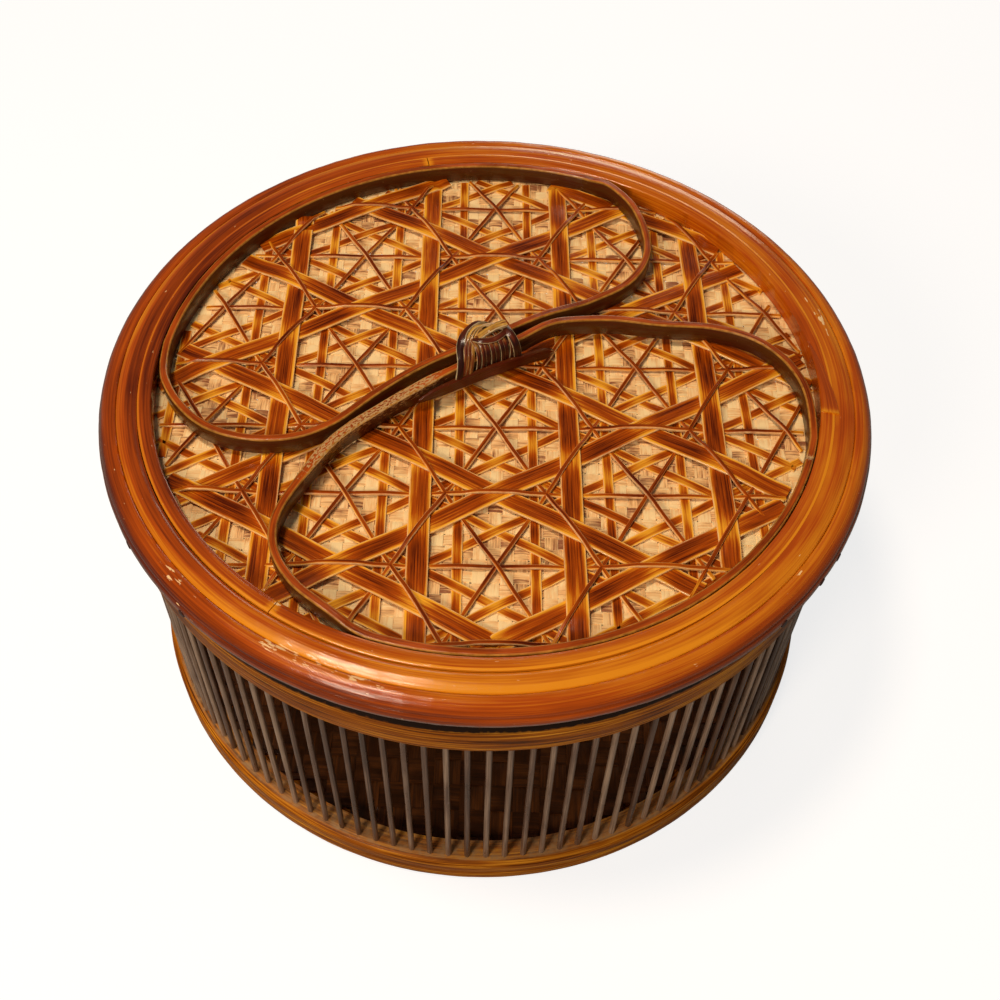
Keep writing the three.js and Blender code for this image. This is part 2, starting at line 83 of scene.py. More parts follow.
LID_UNDERSIDE, PANEL_TOP = levels("lid_panel")
RIM_TOP = levels("lid_middle_hoop")[1]
WEAVE_TOP = levels("wide_strip_a2")[1]
PANEL_RADIUS = outer_radius("lid_panel")
SEAT_GAP = 0.3 * MM


# Colours


def linear(hexadecimal):
    """An sRGB hex colour as linear red, green, blue and alpha."""
    shares = [int(hexadecimal[i : i + 2], 16) / 255 for i in (1, 3, 5)]
    return [((s + 0.055) / 1.055) ** 2.4 if s > 0.04045 else s / 12.92 for s in shares] + [1.0]


# Settings


def length(name, millimetres, description, lowest=0.0):
    return FloatProperty(
        name=name, description=description, default=millimetres * MM, min=lowest, precision=5,
        unit="LENGTH", subtype="DISTANCE",
    )


def turned_by(name, degrees, description):
    return FloatProperty(
        name=name, description=description, default=math.radians(degrees),
        unit="ROTATION", subtype="ANGLE",
    )


def share(name, default, description):
    return FloatProperty(
        name=name, description=description, default=default, min=-1.0, max=2.0, subtype="FACTOR"
    )


def tint(name, hexadecimal, description):
    return FloatVectorProperty(
        name=name, description=description, default=linear(hexadecimal), size=4,
        min=0.0, max=1.0, subtype="COLOR",
    )


class BodySizes(bpy.types.PropertyGroup):
    """Sizes of the box under the lid."""

    base_wall: length("Base hoop wall", 7.2, "Thickness of the base hoop above its ledge")
    base_height: length("Base hoop height", 9.5, "From the table to the base hoop's top")
    ledge_width: length("Ledge width", 4.8, "How far the floor's ledge stands in")
    ledge_height: length("Ledge height", 2.2, "From the table to the top of the ledge")
    top_wall: length("Upper hoop wall", 4.9, "Thickness of the body's upper hoop")
    shoulder_drop: length("Shoulder drop", 5.2, "Height of the upper hoop's sloping shoulder")
    shoulder_in: length("Shoulder width", 2.0, "How far that shoulder slopes in")
    rods: IntProperty(name="Rods", description="Rods round the box", default=118, min=3)
    first_rod: turned_by("First rod", 1.1, "Angle of the first rod")
    rod_width: length("Rod width", 1.6, "Diameter of a rod")
    rod_inset: length("Rod inset", 3.0, "From the base hoop's outside to the rods' middles")
    rod_socket: length("Rod socket", 2.0, "How deep a rod goes into each hoop")
    floor_pitch: length("Floor pitch", 7.6, "From one floor strip to the next")
    floor_strip: length("Floor strip thickness", 0.55, "Thickness of a floor strip")


class LidSizes(bpy.types.PropertyGroup):
    """Sizes of the lid's hoops and woven mat."""

    outer_wall: length("Outer hoop wall", 5.2, "Thickness of the rolled outer hoop")
    outer_flat: length("Outer hoop flat", 1.4, "Width of the flat on its upper side")
    outer_drop: length("Outer hoop drop", 0.7, "Its top lies this much under the rim's top")
    outer_foot: length("Outer hoop foot", 2.0, "From its widest circle down and in to its foot")
    middle_wall: length("Middle hoop wall", 5.0, "Thickness of the middle hoop")
    middle_slope: length("Middle hoop slope", 2.3, "Width of the slope along its outer edge")
    middle_fall: length("Middle hoop fall", 0.62, "How far that slope falls")
    groove_width: length("Groove width", 0.7, "Width of the groove along its inner edge")
    groove_depth: length("Groove depth", 0.6, "Depth of that groove")
    inner_wall: length("Inner hoop wall", 3.4, "Thickness of the inner hoop")
    joint_slit: length("Joint slit", 0.25, "Gap where the inner hoop's lengths meet")
    joint_one: turned_by("First joint", -121, "Angle of the inner hoop's first joint")
    joint_two: turned_by("Second joint", 104, "Angle of its second joint")
    lap_angle: turned_by("Lap end", -7, "Angle of the inner hoop's lapped end")
    lap_sweep: turned_by("Lap sweep", 17, "How far round that lap thins out to nothing")
    lap_width: length("Lap width", 4.6, "Width of the lap at its end")
    lap_thick: length("Lap thickness", 0.35, "How far the lap's end stands up")
    locating_wall: length("Locating hoop wall", 4.2, "Thickness of the hoop under the lid")
    peg_width: length("Peg width", 2.2, "Diameter of a peg in the rim")
    mat_pitch: length("Mat pitch", 3.4, "From one mat strip to the next")
    mat_strip: length("Mat strip thickness", 0.25, "Thickness of a mat strip")


class WeaveSizes(bpy.types.PropertyGroup):
    """Sizes of the star weave over the mat."""

    star_share: share("Star pitch", 0.4977, "From star to star, of the woven radius")
    star_x_share: share("Star place X", 0.0314, "Place of one star, of the woven radius")
    star_y_share: share("Star place Y", -0.1884, "Place of one star, of the woven radius")
    turn: turned_by("Weave turn", 2.0, "How far the weave is turned on the lid")
    wide: length("Wide strip width", 5.3, "Width of a wide strip")
    wide_thick: length("Wide strip thickness", 0.5, "Thickness of a wide strip")
    medium: length("Medium strip width", 2.5, "Width of a medium strip")
    medium_thick: length("Medium strip thickness", 0.3, "Thickness of a medium strip")
    stick: length("Stick width", 1.1, "Width of a stick")
    stick_height: length("Stick height", 0.9, "Height of a stick")


class HandleSizes(bpy.types.PropertyGroup):
    """Sizes of the two looped ribs and their lashing."""

    rib_thick: length("Rib thickness", 2.0, "Thickness of a rib, which stands on edge")
    rib_height: length("Rib height", 5.4, "Height of a rib")
    rib_rise: length("Rib rise", 2.4, "How far the ribs lift off the weave at the knot")
    knot_reach_share: share("Knot reach", 0.307, "Where the ribs begin to rise, of their arcs")
    knot_x_share: share("Knot place X", -0.013, "Place of the knot, of the ribs' arcs")
    knot_y_share: share("Knot place Y", 0.046, "Place of the knot, of the ribs' arcs")
    knot_turn: turned_by("Knot turn", 30, "Direction of the ribs through the knot")
    turns: IntProperty(name="Turns", description="Turns of the lashing", default=8, min=1)
    first_turn: length("First turn", -3.6, "Its place along the ribs, from the knot", -1.0)
    turn_pitch: length("Turn pitch", 1.36, "From one turn of the lashing to the next")
    lashing_half: length("Lashing half width", 3.9, "From the knot's middle to the strands")
    lashing_rise: length("Lashing rise", 5.3, "How high the strands pass over the knot's middle")
    lashing_drop: length("Lashing drop", 3.1, "How far under it they pass")
    strand: length("Strand width", 1.1, "Width of a lashing strand")
    strand_thick: length("Strand thickness", 0.5, "Thickness of a lashing strand")
    splint_long: length("Splint length", 40, "Length of the splint before the lashing")
    splint_thick: length("Splint thickness", 1.2, "Thickness of that splint")
    splint_high: length("Splint height", 3.7, "Height of that splint")
    splint_drop: length("Splint drop", 3.4, "Its lower edge is this far under the knot's middle")


class Finishes(bpy.types.PropertyGroup):
    """Colours of the lacquered and bare bamboo."""

    rim_dark: tint("Rim, dark", "#5E1E02", "Darkest stain of the lid's hoops")
    rim_mid: tint("Rim", "#B44C04", "Usual colour of the lid's hoops")
    rim_light: tint("Rim, light", "#EA9218", "Thinnest lacquer on the lid's hoops")
    strip_dark: tint("Strip, dark", "#501602", "Wide strips midway between crossings")
    strip_mid: tint("Strip", "#B24C04", "Usual colour of the wide strips")
    strip_light: tint("Strip, light", "#FAB02C", "Wide strips at their crossings")
    cut_edge: tint("Cut edge", "#F6CC92", "Pale cut edges of the strips")
    mat_pale: tint("Mat, pale", "#FFE0A6", "Palest fibres of the mat")
    mat_light: tint("Mat", "#F4C080", "Usual colour of the mat's bare bamboo")
    mat_brown: tint("Mat, brown", "#945A38", "Mat strips with their skin side up")
    body_dark: tint("Body hoop, dark", "#3E1C05", "Darkest stain of the body's hoops")
    body_mid: tint("Body hoop", "#A85A08", "Usual colour of the body's hoops")
    body_light: tint("Body hoop, light", "#EAA02C", "Thinnest stain on the body's hoops")
    # The darkest tint is painted shade: it blackens the upper hoop's shoulder under the lid and
    # the darkest parts of the floor inside the closed box.
    grime: tint("Grime", "#21120A", "Grime under the lid and in the floor")
    # The floor's tints are its stain darkened further as painted shade for the inside of the
    # closed box.
    floor_brown: tint("Floor", "#43220A", "Usual colour of the floor")
    floor_light: tint("Floor, light", "#7A4416", "Palest fibres of the floor")
    # A grey painted reflection of the pale table on the hoops' lower edges, which is also the
    # colour of the upper hoop's few worn chips.
    dulled: tint("Dulled edge", "#98847A", "Lower edges of the hoops, dulled by handling")
    dust: tint("Dust", "#A8845C", "Dust in the lacquer on the base hoop's top")
    rod_dark: tint("Rod, dark", "#3A261C", "Darkest rods")
    rod_mid: tint("Rod", "#6C5040", "Usual colour of the rods")
    rod_light: tint("Rod, light", "#B89C84", "Palest fibres of the rods")
    rib_wall: tint("Rib walls", "#54300F", "Side walls of the handle's ribs")
    rib_gold: tint("Rib corners", "#D8983C", "Rubbed corners of the handle's ribs")
    rib_worn: tint("Worn rib", "#BE9660", "Bare bamboo where a rib's lacquer has gone")
    knot_dark: tint("Lashing, dark", "#30120A", "Dark strands of the lashing")
    knot_mid: tint("Lashing", "#6A260A", "Usual colour of the lashing")
    knot_gold: tint("Lashing, gold", "#D2A046", "Palest lacquer on the lashing")
    knot_edge: tint("Lashing edge", "#E8D0A0", "Pale cut edges of the lashing's strands")
    warm_light: tint("Light", "#FFEBD2", "Colour of the lamps")
    table: tint("Table", "#9C9C9C", "The plain table, which the camera sees as white")


SETTINGS = {
    "bamboo_body": BodySizes,
    "bamboo_lid": LidSizes,
    "bamboo_weave": WeaveSizes,
    "bamboo_handle": HandleSizes,
    "bamboo_finish": Finishes,
}


# Modelling


def only(piece):
    """Leaves one object selected and active."""
    bpy.ops.object.select_all(action="DESELECT")
    piece.select_set(True)
    bpy.context.view_layer.objects.active = piece


def added(name, primitive, **settings):
    """Adds a primitive with nothing else selected."""
    bpy.ops.object.select_all(action="DESELECT")
    primitive(**settings)
    piece = bpy.context.object
    piece.name = piece.data.name = name
    return piece


def modified(piece, kind, **settings):
    """Puts a modifier on a piece, with its settings, and applies it."""
    only(piece)
    modifier = piece.modifiers.new(kind.title(), kind)
    for key, value in settings.items():
        setattr(modifier, key, value)
    bpy.ops.object.modifier_apply(modifier=modifier.name)
    return piece


def bevelled(piece, width, segments=1, degrees=30):
    """Rounds the edges of a piece that turn by more than an angle."""
    limit = {"limit_method": "ANGLE", "angle_limit": math.radians(degrees)}
    return modified(piece, "BEVEL", width=width, segments=segments, **limit)


def settled(piece):
    """Moves a piece's place, turn and scale into its mesh."""
    only(piece)
    bpy.ops.object.transform_apply(location=True, rotation=True, scale=True)
    return piece


def smoothed(piece, degrees=40):
    only(piece)
    bpy.ops.object.shade_smooth_by_angle(angle=math.radians(degrees))
    return piece


def joined(name, pieces):
    """Joins pieces into one and smooths it."""
    only(pieces[0])
    for piece in pieces[1:]:
        piece.select_set(True)
    bpy.ops.object.join()
    pieces[0].name = pieces[0].data.name = name
    return smoothed(pieces[0])


# Each point of a piece carries its "grain", which is its place in the bamboo with the last axis
# across the fibres, its "tone" from 0, dark lacquer, to 1, golden, and how "flaked" it is.


def put_attribute(piece, name, values):
    kind = "FLOAT_VECTOR" if name == "grain" else "FLOAT"
    attribute = piece.data.attributes.get(name) or piece.data.attributes.new(name, kind, "POINT")
    if name == "grain":
        attribute.data.foreach_set("vector", [x for value in values for x in value])
    else:
        attribute.data.foreach_set("value", values)


def lay(piece, name, value_at):
    """Puts a value on each point of a piece, worked out from the point's place."""
    put_attribute(piece, name, [value_at(v.co) for v in piece.data.vertices])


def seeded(seed):
    """How far a strip's grain is shifted by its seed, so that no two strips look the same."""
    return seed * 50 * MM


def ring_grain(point):
    """On a hoop the fibres run round, so only the place across the hoop's face changes fast."""
    return point.x, point.y, math.hypot(point.x, point.y) - point.z


def arc_to(point, angle):
    """How far round the box's axis a point is from an angle."""
    difference = math.atan2(point.y, point.x) - angle
    return abs(math.remainder(difference, FULL_TURN)) * point.xy.length


def bell(value):
    """1 at 0, and falling smoothly to nothing beyond 1."""
    return math.exp(-(value**2))


def lay_flakes(piece, flakes):
    """Marks where a hoop's lacquer has flaked: (degrees, radius, reach round it in mm) each."""
    across = 1.5 * MM

    def flaked(point):
        return sum(
            bell(arc_to(point, math.radians(degrees)) / (reach * MM))
            * bell((point.xy.length - radius) / across)
            for degrees, radius, reach in flakes
        )

    lay(piece, "flaked", flaked)


def turned_ring(name, outline, steps=360, start=0.0, sweep=FULL_TURN, rounding=0.0):
    """A hoop: a closed outline of (radius, level) corners is drawn upright and spun round Z.

    Spin turns clockwise about its axis, so the axis points down.
    """
    corners = [Vector((radius, 0.0, level)) for radius, level in outline]
    piece = added(name, bpy.ops.mesh.primitive_plane_add, size=MM, location=(0, 0, 0))
    bpy.ops.object.mode_set(mode="EDIT")
    bpy.ops.mesh.select_all(action="SELECT")
    bpy.ops.mesh.merge(type="CENTER")
    bpy.ops.transform.translate(value=corners[0])
    for here, ahead in zip(corners, corners[1:]):
        bpy.ops.mesh.extrude_vertices_move(TRANSFORM_OT_translate={"value": ahead - here})
    bpy.ops.mesh.select_all(action="SELECT")
    bpy.ops.mesh.edge_face_add()
    if abs(sweep - FULL_TURN) < 1e-6:
        bpy.ops.mesh.delete(type="ONLY_FACE")
        bpy.ops.mesh.select_all(action="SELECT")
    bpy.ops.mesh.spin(steps=steps, angle=sweep, center=(0, 0, 0), axis=(0, 0, -1))
    bpy.ops.mesh.select_all(action="SELECT")
    bpy.ops.mesh.remove_doubles(threshold=0.01 * MM)
    bpy.ops.mesh.normals_make_consistent(inside=False)
    bpy.ops.object.mode_set(mode="OBJECT")
    piece.rotation_euler.z = start
    settled(piece)
    if rounding:
        bevelled(piece, rounding, 2, 35)
    lay(piece, "grain", ring_grain)
    return piece


def roughened(piece, depth_mm, grain_mm, seed):
    """Pushes a piece's surface in and out a little, as hand-shaved bamboo is."""
    texture = bpy.data.textures.new(f"shaving_{piece.name}_{seed}", "CLOUDS")
    texture.noise_scale = grain_mm * MM
    texture.noise_depth = 2
    placed = {"texture": texture, "texture_coords": "LOCAL", "mid_level": 0.5}
    return modified(piece, "DISPLACE", strength=depth_mm * MM, **placed)


def flat_bar(name, long, wide, thick, steps, seed, across=2, rounding=0.0):
    """A straight bar from x = 0, centred on y = 0, standing on z = 0."""
    piece = added(
        name, bpy.ops.mesh.primitive_grid_add, x_subdivisions=steps, y_subdivisions=across,
        size=1, location=(long / 2, 0, 0),
    )
    piece.scale = (long, wide, 1)
    settled(piece)
    modified(piece, "SOLIDIFY", thickness=thick, offset=1)
    if rounding:
        bevelled(piece, rounding, degrees=60)
    lay(piece, "grain", lambda p: (p.x, seeded(seed), p.y))
    return piece


def welded(piece):
    return modified(piece, "WELD", merge_threshold=0.02 * MM)


def bent_along(piece, points, cyclic=False):
    """Bends a straight bar along a line of points."""
    line = bpy.data.curves.new("route", "CURVE")
    line.dimensions = "3D"
    line.twist_mode = "Z_UP"
    spline = line.splines.new("POLY")
    spline.points.add(len(points) - 1)
    for knot, point in zip(spline.points, points):
        knot.co = (*point, 1.0)
    spline.use_cyclic_u = cyclic
    route = bpy.data.objects.new("route", line)
    bpy.context.scene.collection.objects.link(route)
    modified(piece, "CURVE", object=route, deform_axis="POS_X")
    bpy.data.objects.remove(route)
    return welded(piece) if cyclic else piece


# How far the middle of a strand stands over its edges, as a share of its width
ARCHING = 0.2


def ribbon(name, line, outward, wide, thick, seed, closed=False):
    """A flat strand laid along a line, with its face turned outward at each point.

    The grain is spread over the strand's whole width, so that its cut edges stay at its edges.
    """
    usual = bpy.context.scene.bamboo_handle.strand
    steps = len(line) - 1
    piece = added(
        name, bpy.ops.mesh.primitive_grid_add, x_subdivisions=steps, y_subdivisions=2, size=1
    )
    walked = [0.0]
    for here, ahead in zip(line, line[1:]):
        walked.append(walked[-1] + (ahead - here).length)
    grain = []
    for vertex in piece.data.vertices:
        i = round((vertex.co.x + 0.5) * steps)
        back, front = line[max(0, i - 1)], line[min(steps, i + 1)]
        if closed and i in (0, steps):
            back, front = line[-2], line[1]
        side = outward[i].cross(front - back).normalized()
        grain.append((walked[i], seeded(seed), vertex.co.y * usual))
        crown = outward[i].normalized() * ARCHING * wide * (1 - 4 * vertex.co.y**2)
        vertex.co = line[i] + side * vertex.co.y * wide + crown
    put_attribute(piece, "grain", grain)
    if closed:
        welded(piece)
    only(piece)
    bpy.ops.object.mode_set(mode="EDIT")
    bpy.ops.mesh.select_all(action="SELECT")
    bpy.ops.mesh.normals_make_consistent(inside=False)
    bpy.ops.object.mode_set(mode="OBJECT")
    modified(piece, "SOLIDIFY", thickness=thick, offset=0)
    return bevelled(piece, 0.07 * MM)


def polyline_length(points, cyclic=False):
    ahead = points[1:] + points[:1] if cyclic else points[1:]
    return sum((b - a).length for a, b in zip(points, ahead))


def eased(value):
    """0 to 1, slow at both ends."""
    value = min(1.0, max(0.0, value))
    return value * value * (3 - 2 * value)


def level_between(stations, flat, along):
    """The level at a place between (place, level) stations, each flat for a little way."""
    if along <= stations[0][0]:
        return stations[0][1]
    for (here, low), (ahead, high) in zip(stations, stations[1:]):
        if along <= ahead:
            room = ahead - here - 2 * flat
            return low + (high - low) * eased((along - here - flat) / room)
    return stations[-1][1]


def dress(piece, body, nodes, maker):
    """Ends a piece: its finish, the body it moves with, its slot and the CAD nodes it replaces.

    The finish is the material that its maker function is named for, which is made once.
    """
    name = maker.__name__
    finish = bpy.data.materials.get(name) or maker(name, bpy.context.scene.bamboo_finish)
    piece.data.materials.clear()
    piece.data.materials.append(finish)
    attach(piece, body)
    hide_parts(*nodes)


def blended(first, second, start, end, at):
    """The place on the way from one point to another, by where a value lies in its span."""
    return first * ((end - at) / (end - start)) + second * ((at - start) / (end - start))


def catmull_rom(points, steps, cyclic=True):
    """A smooth centripetal line through plan points, as even steps."""
    count = len(points)
    fineness = 24
    dense = []
    for i in range(count if cyclic else count - 1):
        if cyclic:
            p0, p1, p2, p3 = (points[(i + k - 1) % count] for k in range(4))
        else:
            p1, p2 = points[i], points[i + 1]
            p0 = points[i - 1] if i else p1 + (p1 - p2)
            p3 = points[i + 2] if i + 2 < count else p2 + (p2 - p1)
        t0, t1 = 0.0, (p1 - p0).length ** 0.5
        t2 = t1 + (p2 - p1).length ** 0.5
        t3 = t2 + (p3 - p2).length ** 0.5
        for k in range(fineness):
            t = t1 + (t2 - t1) * k / fineness
            a1, a2 = blended(p0, p1, t0, t1, t), blended(p1, p2, t1, t2, t)
            a3 = blended(p2, p3, t2, t3, t)
            b1, b2 = blended(a1, a2, t0, t2, t), blended(a2, a3, t1, t3, t)
            dense.append(blended(b1, b2, t1, t2, t))
    if not cyclic:
        dense.append(points[-1].copy())
    return evenly(dense, steps, cyclic)


def evenly(points, steps, cyclic):
    """The same line with its points evenly apart."""
    line = points + [points[0]] if cyclic else points
    total = polyline_length(line)
    result, walked, i = [], 0.0, 0
    for k in range(steps if cyclic else steps + 1):
        target = total * k / steps
        while i < len(line) - 2 and walked + (line[i + 1] - line[i]).length < target:
            walked += (line[i + 1] - line[i]).length
            i += 1
        stride = (line[i + 1] - line[i]).length or 1.0
        result.append(line[i].lerp(line[i + 1], min(1.0, (target - walked) / stride)))
    return result


# Materials


def node(tree, kind, inputs=(), **settings):
    """Adds a shader node with its settings; each input takes a value or another node's output."""
    made = tree.nodes.new(f"ShaderNode{kind}")
    for key, value in settings.items():
        setattr(made, key, value)
    for key, value in dict(inputs).items():
        if isinstance(value, bpy.types.NodeSocket):
            tree.links.new(value, made.inputs[key])
        else:
            made.inputs[key].default_value = value
    return made


def started(name):
    """A new material and its empty node tree."""
    material = bpy.data.materials.new(name)
    material.use_nodes = True
    material.node_tree.nodes.clear()
    return material, material.node_tree


def laid_on(tree, name):
    """A value that each point of the piece carries."""
    return node(tree, "Attribute", attribute_name=name).outputs["Fac"]


def faded(tree, value, low, high, start=0.0, end=1.0):
    """A value that goes smoothly from start to end as another goes from low to high."""
    span = {"From Min": low, "From Max": high, "To Min": start, "To Max": end}
    settings = {"interpolation_type": "SMOOTHSTEP"}
    return node(tree, "MapRange", {"Value": value, **span}, **settings).outputs["Result"]


def calculated(tree, operation, *values):
    return node(tree, "Math", dict(enumerate(values)), operation=operation).outputs[0]


def product(tree, *values):
    return functools.reduce(lambda a, b: calculated(tree, "MULTIPLY", a, b), values)


def past_edge(tree, value, edge, low_mm, high_mm, start=0.0, end=1.0):
    """Fades a value in or out as another passes an edge, so many millimetres off it."""
    return faded(tree, value, edge + low_mm * MM, edge + high_mm * MM, start, end)


def mixed(tree, factor, first, second):
    inputs = {"Factor": factor, "A": first, "B": second}
    return node(tree, "Mix", inputs, data_type="RGBA").outputs["Result"]


def noise(tree, vector, sizes_mm, **settings):
    """Noise whose pattern takes so many millimetres along each of a place's axes."""
    scale = [1 / (mm * MM) for mm in sizes_mm]
    place = node(tree, "VectorMath", {0: vector, 1: scale}, operation="MULTIPLY").outputs["Vector"]
    inputs = {"Vector": place, "Scale": 1.0, "Detail": 3.0, **settings}
    return node(tree, "TexNoise", inputs).outputs["Fac"]


def cut_edges(width, edge_mm):
    """The narrow bands along both edges of a strip of this width."""

    def share_of(tree, grain):
        across = node(tree, "SeparateXYZ", {"Vector": grain}).outputs["Z"]
        return past_edge(tree, calculated(tree, "ABSOLUTE", across), width / 2, -edge_mm, 0)

    return share_of


# Where a stain's dark, usual and light tint lie on its ramp
STAIN_STOPS = (0.18, 0.5, 0.85)
# How far the gloss varies from patch to patch, as shares of the usual roughness
GLOSSIEST, DULLEST = 0.75, 1.35
# The rubbed pattern's size in mm, and how much of it shows in the relief beside the streaks
RUBBED_MM, RUBBED_RELIEF = 1.6, 0.4
# A chip shows where its pattern passes this level, which a flaked place lowers
CHIP_LEVEL, CHIP_EDGE, FLAKED_SHARE, CHIP_ROUGHNESS = 0.78, 0.04, 0.22, 0.35


def split_bamboo(
    name, colours, streak=(18, 18, 0.3), streak_share=0.9, blotch=(20, 20, 4), blotch_share=0.5,
    tone_share=0.0, bias=0.0, glow_share=None, glow=0.3, edge_colour=None, edge_share=None,
    wear=0.0, wear_colour=None, flake=(3.6, 3.6, 0.9), roughness=0.3, coat=0.2, specular=0.28,
    relief_mm=0.05,
):
    """Split bamboo under stain and lacquer.

    Bamboo's fibres run along each strip as fine streaks, the stain pools into uneven patches, and
    the lacquer over it gives a clear gloss that follows the fibres. streak, blotch and flake are
    the millimetres that the patterns take along the three axes of the grain. glow_share says
    where the lacquer thins to gold, edge_share where the bare edge shows.
    """
    material, tree = started(name)
    grain = node(tree, "Attribute", attribute_name="grain").outputs["Vector"]
    tone = laid_on(tree, "tone")
    place = node(tree, "TexCoord").outputs["Object"]
    streaks = noise(tree, grain, streak, Roughness=0.65)
    patches = noise(tree, grain, blotch, Detail=4.0)
    rubbed = noise(tree, place, [RUBBED_MM] * 3, Detail=5.0)

    # The stain's shade comes from all the patterns and picks its colour from dark to light
    start = 0.5 + bias - streak_share / 2 - blotch_share / 2
    shade = calculated(tree, "MULTIPLY_ADD", streaks, streak_share, start)
    shade = calculated(tree, "MULTIPLY_ADD", patches, blotch_share, shade)
    shade = calculated(tree, "MULTIPLY_ADD", tone, tone_share, shade)
    if glow_share is not None:
        uneven = product(tree, glow_share(tree, grain), patches)
        shade = calculated(tree, "MULTIPLY_ADD", uneven, 2 * glow, shade)
    ramp = node(tree, "ValToRGB", {"Fac": shade})
    stops = ramp.color_ramp.elements
    stops.new(0.5)
    for stop, position, stain in zip(stops, STAIN_STOPS, colours):
        stop.position = position
        stop.color = stain
    colour = ramp.outputs["Color"]
    gloss = faded(tree, patches, 0.2, 0.8, roughness * GLOSSIEST, roughness * DULLEST)

    if edge_share is not None:
        ragged = calculated(tree, "MULTIPLY_ADD", rubbed, 1.6, -0.1)
        edge = product(tree, edge_share(tree, grain), ragged)
        colour = mixed(tree, edge, colour, edge_colour)
    if wear:
        flaked = laid_on(tree, "flaked")
        chips = noise(tree, grain, flake, Detail=5.0)
        thin = calculated(tree, "MULTIPLY_ADD", flaked, FLAKED_SHARE, chips)
        worn = faded(tree, thin, CHIP_LEVEL - wear, CHIP_LEVEL + CHIP_EDGE - wear)
        colour = mixed(tree, worn, colour, wear_colour)
        gloss = calculated(tree, "MULTIPLY_ADD", worn, CHIP_ROUGHNESS, gloss)
    height = calculated(tree, "MULTIPLY_ADD", rubbed, RUBBED_RELIEF, streaks)
    bump = {"Height": height, "Strength": 1.0, "Distance": relief_mm * MM}
    relief = node(tree, "Bump", bump).outputs["Normal"]
    shader = {
        "Base Color": colour, "Roughness": gloss, "Normal": relief, "IOR": 1.45,
        "Specular IOR Level": specular, "Coat Weight": coat, "Coat Roughness": 0.09,
        "Coat Normal": relief,
    }
    surface = node(tree, "BsdfPrincipled", shader).outputs["BSDF"]
    node(tree, "OutputMaterial", {"Surface": surface})
    return material


def surface_place(tree):
    """Each point's place on the box, its height, and its distance from the box's axis."""
    place = node(tree, "TexCoord").outputs["Object"]
    height = node(tree, "SeparateXYZ", {"Vector": place}).outputs["Z"]
    plan = node(tree, "VectorMath", {0: place, 1: (1, 1, 0)}, operation="MULTIPLY")
    radius = node(tree, "VectorMath", {0: plan.outputs["Vector"]}, operation="LENGTH")
    return place, height, radius.outputs["Value"]


def rubbed_foot(tree, grain):
    """The lower edge of the rolled outer hoop, which handling has dulled to grey."""
    _, height, radius = surface_place(tree)
    low = past_edge(tree, height, LID_UNDERSIDE, 1.8, 2.9, 1.0, 0.0)
    return product(tree, low, past_edge(tree, radius, outer_radius("lid_outer_hoop"), -1.3, -0.9))


def dusty_top(tree, grain):
    """The base hoop's upper face, where dust has settled into the stain between the rods."""
    place, height, radius = surface_place(tree)
    top = bpy.context.scene.bamboo_body.base_height
    drifts = noise(tree, place, [5] * 3, Detail=4.0)
    lying = faded(tree, drifts, 0.34, 0.6, 0.35, 1.0)
    level = past_edge(tree, height, top, -0.9, -0.3)
    inside = past_edge(tree, radius, outer_radius("rod_cage"), -1.9, -1.1, 1.0, 0.0)
    return product(tree, level, lying, inside)


def shaded_shoulder(tree, grain):
    """The upper hoop's outer edge close under the lid, where grime has gathered."""
    height = surface_place(tree)[1]
    edge = levels("top_hoop")[1] - bpy.context.scene.bamboo_body.shoulder_drop
    # Painted shade: a band from just below the shoulder's lower edge, strongest a little above it
    # and fading out up the shoulder.
    from_below = past_edge(tree, height, edge, -1.3, 0.9, 0.0, 2.4)
    return product(tree, from_below, past_edge(tree, height, edge, 1.4, 3.2, 1.0, 0.1))


def lacquered_rim_bamboo(name, look):
    """Orange-brown lacquer over bent bamboo: glossy, with long dark stain lines round the hoop."""
    return split_bamboo(
        name, (look.rim_dark, look.rim_mid, look.rim_light), streak=(40, 40, 0.5),
        streak_share=0.62, blotch=(34, 34, 5), blotch_share=0.6, tone_share=0.4, bias=-0.17,
        # The grey on the outer hoop's lower edge is a painted reflection of the table.
        edge_colour=look.dulled, edge_share=rubbed_foot, wear=0.06, wear_colour=look.cut_edge,
        roughness=0.2, coat=0.42, relief_mm=0.08,
    )


def stained_body_bamboo(name, look, **extra):
    """Brown stain over bent bamboo: satin, with dark grain lines round the hoop."""
    return split_bamboo(
        name, (look.body_dark, look.body_mid, look.body_light), streak=(30, 30, 0.5),
        streak_share=1.8, blotch=(30, 30, 4), blotch_share=0.8, roughness=0.4, coat=0.03,
        specular=0.1, relief_mm=0.08, **extra,
    )


def dusty_base_bamboo(name, look):
    """The base hoop: the body's brown stain with a pale dusty top."""
    return stained_body_bamboo(name, look, edge_colour=look.dust, edge_share=dusty_top)


def grimy_upper_bamboo(name, look):
    """The upper hoop: the body's brown stain, nearly black with grime on its shoulder."""
    edge = {"edge_colour": look.grime, "edge_share": shaded_shoulder}
    # Its grey lower edge is a painted reflection of the table. Chips elsewhere are real wear.
    return stained_body_bamboo(name, look, **edge, wear=0.02, wear_colour=look.dulled)


def lacquered_cut_bamboo(name, look, width, glow_mm, edge_mm, **extra):
    """Dark red-brown lacquer over a cut strip, thin and golden along its pale cut edges."""
    return split_bamboo(
        name, (look.strip_dark, look.strip_mid, look.strip_light), edge_colour=look.cut_edge,
        glow_share=cut_edges(width, glow_mm), edge_share=cut_edges(width, edge_mm),
        roughness=0.25, coat=0.08, specular=0.16, **extra,
    )


